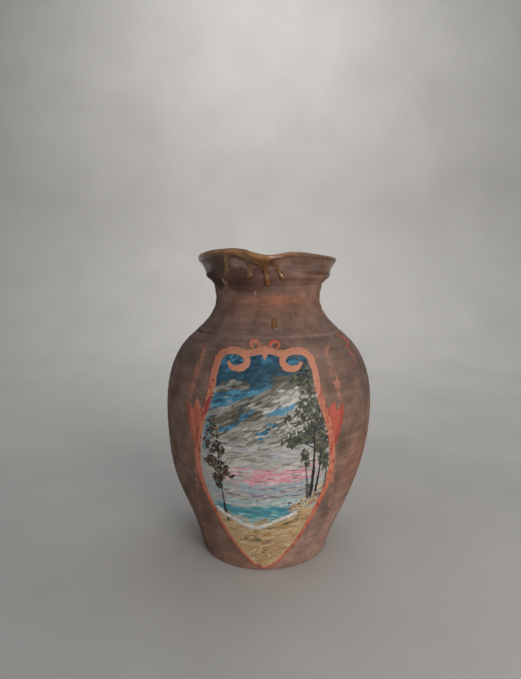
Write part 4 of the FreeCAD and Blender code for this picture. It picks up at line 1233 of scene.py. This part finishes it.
class Top:
    """The outside of the neck and the whole collar as one grid, with the distance from the lip's crest."""

    def __init__(self):
        neck_z = span(226, NECK_TOP - 0.1, 0.7)
        places = span(0.2, 14.6, 0.065)
        neck, _ = body_points(GLAZE_ANGLE[None, :], neck_z[:, None])
        self.points = np.concatenate([neck, collar_points(GLAZE_ANGLE, places)])
        self.normals = round_normals(self.points)
        steps = np.linalg.norm(np.diff(self.points, axis=0), axis=-1)
        run = np.concatenate([np.zeros((1, len(GLAZE_ANGLE))), np.cumsum(steps, axis=0)])
        crest = len(neck_z) + int(np.argmin(np.abs(places - CREST_PLACE)))
        self.below = run[crest] - run
        self.angle = np.broadcast_to(GLAZE_ANGLE, self.below.shape)
        self.degrees = (np.degrees(self.angle) + 180) % 360 - 180
        self.radius = np.hypot(self.points[..., 0] - lean(self.points[..., 2]), self.points[..., 1])
        self.place = np.concatenate([np.full(len(neck_z), -1.0), places])[:, None]
        self.fine = layered(self.angle, self.below, 70, 4, 152)


def drip_thickness(top, start, end, high, low, width, thick):
    """Thickness of one run of glaze, a thin trail that swells to a drop at its end, and its share from 0 at
    the edge of the run to 1 along its middle."""
    height = top.points[..., 2]
    along = np.clip((high - height) / (high - low), 0, 1)
    sway = (high - low > 17) * min(1, (high - low) / 25) * noise(along * 4, 0.5, int(start) % 90)
    centre = start + (end - start) * along + sway
    across = np.radians(turn_between(top.degrees, centre)) * top.radius
    past = np.maximum(low + width / 2 - height, 0) + np.maximum(height - high + width / 2, 0)
    root = 1.3 if high > 280 else 0.7
    half = width / 2 * np.interp(along, [0, 0.25, 0.6, 0.85, 1.0], [root, 0.85, 0.75, 1.0, 1.0])
    away = np.hypot(across, past) / half * (1 + 0.2 * top.fine)
    share = np.sqrt(np.maximum(1 - away ** 2, 0)) * (top.below > 0)
    return thick * np.interp(along, [0, 0.5, 0.85, 1.0], [0.4, 0.5, 1.0, 0.95]) * share, share


def mottled_round(top, light, dark, seed):
    amount = 0.5 + 0.65 * layered(top.angle, top.below, 30, 12, seed)
    amount = amount + 0.25 * layered(top.angle, top.below, 120, 2.5, seed + 3)
    return dark + (light - dark) * np.clip(amount, 0, 1)[..., None]


def lip_edge(top, wave, runs):
    """How far below the crest the amber glaze ends: it hangs lower in the fold and where runs start."""
    edge = 5.0 + 1.2 * bump(top.degrees, -45, 32) - 1.3 * bump(top.degrees, 45, 30)
    edge = edge + 1.9 * wave + 1.1 * top.fine + 7.5 * band(top.degrees, -26, -9, -3, 3)
    return edge + 2.5 * smoothstep(0.1, 0.8, np.maximum.reduce(runs)) - 1.2 * smoothstep(20, 45, top.degrees)


def make_rim_glaze(top, edge, material):
    """Amber glaze over the lip, thin along the crest, thick and dark along its lower edge. The crest's dark
    line and the darker left side are painted shade; the paler right side is painted light.
    """
    fine, degrees = top.fine, top.degrees
    on_top = (top.place > GLAZE_START) & (top.place < INSIDE_END)
    cover = smoothstep(edge + 0.6, edge - 1.5, top.below) * on_top
    outside_edge = smoothstep(edge - 3.2, edge - 1.0, top.below) * (top.below > 0)
    thin = smoothstep(2.0, 0.4, np.abs(top.below - 2.6)) * (0.7 + 0.5 * fine)
    # Painted shade: a dark line along the crest of the lip.
    wear_and_shade = smoothstep(1.5, 0.2, np.abs(top.below - 0.2)) * (0.8 + 0.5 * fine)
    colour = mottled_round(top, AMBER, AMBER_DARK, 155)
    colour = blend_to(colour, AMBER_PALE, thin * 0.6)
    # Painted light: paler amber towards the lit right side.
    colour = blend_to(colour, AMBER_PALE * 0.85, 0.6 * smoothstep(8, 35, degrees))
    colour = blend_to(colour, AMBER_DARK * 1.4, 0.7 * wear_and_shade)
    colour = blend_to(colour, AMBER_DARK, 0.75 * outside_edge)
    # Painted shade: the lip darker on its left side.
    colour = darken(colour, 0.35 * band(degrees, -35, -75, -110, -150))
    depth = 0.45 + 0.25 * fine + 0.3 * outside_edge
    paint_piece(top, "rim_glaze_coat", cover, depth, colour, material, "amber_glaze", 0.22, "rim_glaze",
                -0.35, True)


def make_collar_glaze(top, edge, wave, material):
    """Mauve glaze on the collar under brown washes, with clear patches and trails of amber. Its darker left
    side and the dark line along the groove above the ledge are painted shade.
    """
    fine, degrees, height = top.fine, top.degrees, top.points[..., 2]
    around = functools.partial(layered, top.angle, top.below)
    lower = 19.0 + 1.8 * wave + 1.6 * fine
    patchy = smoothstep(-0.8, -0.4, around(26, 9, 158))
    cover = smoothstep(lower + 1.2, lower - 1.2, top.below) * (top.place > 0.9) * (top.below > 1) * patchy
    colour = mottled_round(top, MAUVE, MAUVE_DARK, 156)
    wash = sum(strength * spot(degrees, top.below, *patch) for strength, *patch in BROWN_WASHES)
    colour = blend_to(colour, AMBER_DARK * 1.5, 0.85 * wash * (0.8 + 0.6 * wave))
    brown = smoothstep(-0.1, 0.5, wave + 0.5 * fine) * smoothstep(274, 280, height)
    brown = np.clip(smoothstep(-26, -40, degrees) + brown, 0, 1)
    # Brown glaze, darker on the left side as painted shade.
    colour = blend_to(colour, AMBER_DARK * np.where(degrees < 0, 0.75, 1.6)[..., None], 0.85 * brown)
    # Painted shade: the collar darker on its left side.
    colour = darken(colour, 0.4 * band(degrees, -30, -48, -85, -110))
    patches = sum(spot(degrees + 2 * fine, height + fine, *patch) for patch in MAUVE_PATCHES)
    clear = smoothstep(0.25, 0.75, patches)
    colour = blend_to(colour, MAUVE * np.where(degrees < 0, 1.0, 0.66)[..., None], clear)
    trails = smoothstep(0.15, 0.55, around(38, 26, 161)) * smoothstep(17, 9, top.below)
    colour = blend_to(colour, AMBER_DARK * 1.5, 0.75 * trails * (1 - clear))
    colour = blend_to(colour, MAUVE * 1.35, 0.6 * smoothstep(0.2, 0.6, around(22, 8, 165)))
    colour = blend_to(colour, AMBER_DARK, 0.8 * smoothstep(edge + 4.0, edge + 0.5, top.below))
    colour = darken(colour, 0.15 * band(degrees, 12, 30, 60, 80))
    # Painted shade: a dark line along the groove above the ledge.
    groove = smoothstep(0.9, 0.3, np.abs(top.place - GROOVE_PLACE)) * (0.6 + 0.5 * wave)
    colour = blend_to(colour, AMBER_DARK * 0.6, 0.9 * groove)
    depth = 0.16 + 0.08 * fine
    paint_piece(top, "collar_glaze_coat", cover, depth, colour, material, "mauve_glaze", 0.1, "collar_glaze",
                wraps=True)


def make_glaze_runs(top, thick, share, material):
    """Runs of amber glaze, dark at their edges and brownish where they lie on the bare neck."""
    low_down = smoothstep(273, 269, top.points[..., 2])
    rimmed = 0.95 * smoothstep(0.9, 0.5, share + 0.2 * top.fine)
    colour = mottled_round(top, AMBER * 0.55, AMBER_DARK, 159)
    colour = blend_to(colour, AMBER * 0.8, 0.3 * smoothstep(1.0, 1.7, thick))
    colour = blend_to(colour, GLAZE_STAIN, 0.75 * low_down * smoothstep(0.9, 0.7, thick))
    colour = blend_to(colour, AMBER_DARK * 0.75, rimmed * (1 - 0.25 * low_down))
    cover = smoothstep(0.02, 0.25, thick)
    paint_piece(top, "glaze_runs", cover, thick, colour, material, "amber_glaze", 0.15, "glaze_drips",
                -0.35, True)


def make_glazes(mauve_material, amber_material):
    top = Top()
    wave = layered(top.angle, top.below, 14, 30, 151)
    runs, shares = zip(*[drip_thickness(top, *drip) for drip in DRIPS])
    edge = lip_edge(top, wave, runs[:LIP_RUNS])
    make_rim_glaze(top, edge, amber_material)
    make_collar_glaze(top, edge, wave, mauve_material)
    make_glaze_runs(top, np.maximum.reduce(runs), np.maximum.reduce(shares), amber_material)


# ---- camera, light and stage: metres ----
CAMERA_PLACE, CAMERA_TILT = (-0.0075, -0.523, 0.284), -7.79
LENS, SENSOR = 27.57, 36
LAMP_AIM = (0, 0, 0.17)                              # the middle of the vase
SKY_COLOUR, SKY_STRENGTH = (0.9, 0.93, 1.0, 1), 0.2
STAGE_BEND, STAGE_BACK, STAGE_HALF_WIDTH = 0.5, 1.3, 9
PLASTER = (0.60, 0.585, 0.56, 1)


def make_camera():
    camera = bpy.data.objects.new("camera", bpy.data.cameras.new("camera"))
    camera.location = CAMERA_PLACE
    camera.rotation_euler = (math.radians(90 + CAMERA_TILT), 0, 0)
    camera.data.lens = LENS
    camera.data.sensor_width = SENSOR
    camera.data.clip_start = 0.01
    bpy.context.scene.collection.objects.link(camera)
    bpy.context.scene.camera = camera


def area_light(name, place, size, power, colour, aim=LAMP_AIM, beam=180, mirrored_in_glaze=True):
    """A soft square lamp; unless told otherwise it faces the middle of the vase and shines all round."""
    data = bpy.data.lights.new(name, "AREA")
    data.shape, data.size, data.size_y = "RECTANGLE", size, size
    data.energy, data.color = power, colour
    data.spread = math.radians(beam)
    lamp = bpy.data.objects.new(name, data)
    lamp.location = place
    lamp.rotation_euler = (Vector(aim) - Vector(place)).to_track_quat("-Z", "Y").to_euler()
    lamp.visible_camera = False
    lamp.visible_glossy = mirrored_in_glaze
    bpy.context.scene.collection.objects.link(lamp)


def make_light():
    area_light("window", (0.62, -1.05, 0.38), 0.6, 8.0, (1.0, 0.97, 0.93))
    area_light("glint", (1.05, -0.62, 0.34), 0.13, 1.1, (1.0, 0.99, 0.97))
    area_light("bounce", (-1.1, -0.9, 0.4), 1.2, 1.6, (0.97, 0.98, 1.0), mirrored_in_glaze=False)
    area_light("overhead", (0.5, 0.8, 2.2), 1.6, 7.5, (0.98, 0.99, 1.0))
    area_light("wall_wash", (0.0, 0.4, 1.6), 0.6, 4.5, (1.0, 0.99, 0.97), aim=(0.0, 1.3, 0.55), beam=110)
    world = bpy.data.worlds.new("room")
    world.use_nodes = True
    background = world.node_tree.nodes["Background"]
    background.inputs["Color"].default_value = SKY_COLOUR
    background.inputs["Strength"].default_value = SKY_STRENGTH
    bpy.context.scene.world = world
    bpy.context.scene.view_settings.view_transform = "Standard"


def make_stage():
    """A plain pale floor that curves up well behind the vase."""
    turn = np.radians(span(0, 90, 6))
    outline = [(-STAGE_HALF_WIDTH, 0.0), (-3.0, 0.0), (0.0, 0.0)]
    outline += [(STAGE_BACK - STAGE_BEND + STAGE_BEND * math.sin(t), STAGE_BEND - STAGE_BEND * math.cos(t))
                for t in turn]
    outline += [(STAGE_BACK, 1.2), (STAGE_BACK, 2.4)]
    across = np.linspace(-STAGE_HALF_WIDTH, STAGE_HALF_WIDTH, 13)
    points = [(x / MM, y / MM, z / MM) for y, z in outline for x in across]
    faces = grid_faces(len(outline), len(across), False, False).tolist()
    floor = new_object("floor", points, faces, np.ones(len(faces)))
    material, tree, shader = new_material("floor_plaster", Roughness=0.9, Specular_IOR_Level=0.2)
    plain = add(tree, "RGB").outputs[0]
    plain.default_value = PLASTER
    wire(tree, shader, Base_Color=times(tree, plain, vary(tree, grain(tree, 6, 5), 0.94, 1.04)))
    floor.data.materials.append(material)


# ---- the whole vase ----
make_camera()
make_light()
make_stage()
clay = clay_material("terracotta_clay")
make_lower_body(clay)
make_shoulder_neck(clay)
make_shoulder_slip(clay)
make_collar_slip(clay)
make_collar(clay)
amber = glaze_material("amber_glaze", 0.30, 0.8, 0.5)
make_interior(amber)
make_glazes(glaze_material("mauve_glaze", 0.42, 0.35, 0.9), amber)
side = Front()
picture = paint_material("picture_paint", 0.5, 0.10)
brushwork = paint_material("border_paint", 0.6, 0.28)
make_picture(side, picture)
make_foam(side, picture)
make_tree(side, picture, "right", 131, RIGHT_BRANCHES, RIGHT_FOLIAGE)
make_tree(side, picture, "left", 141, LEFT_BRANCHES, LEFT_FOLIAGE)
make_border(side, brushwork)
make_crest(side, brushwork)
make_leaves(side, brushwork)
make_flourishes(side, brushwork)
make_tick(side, brushwork)
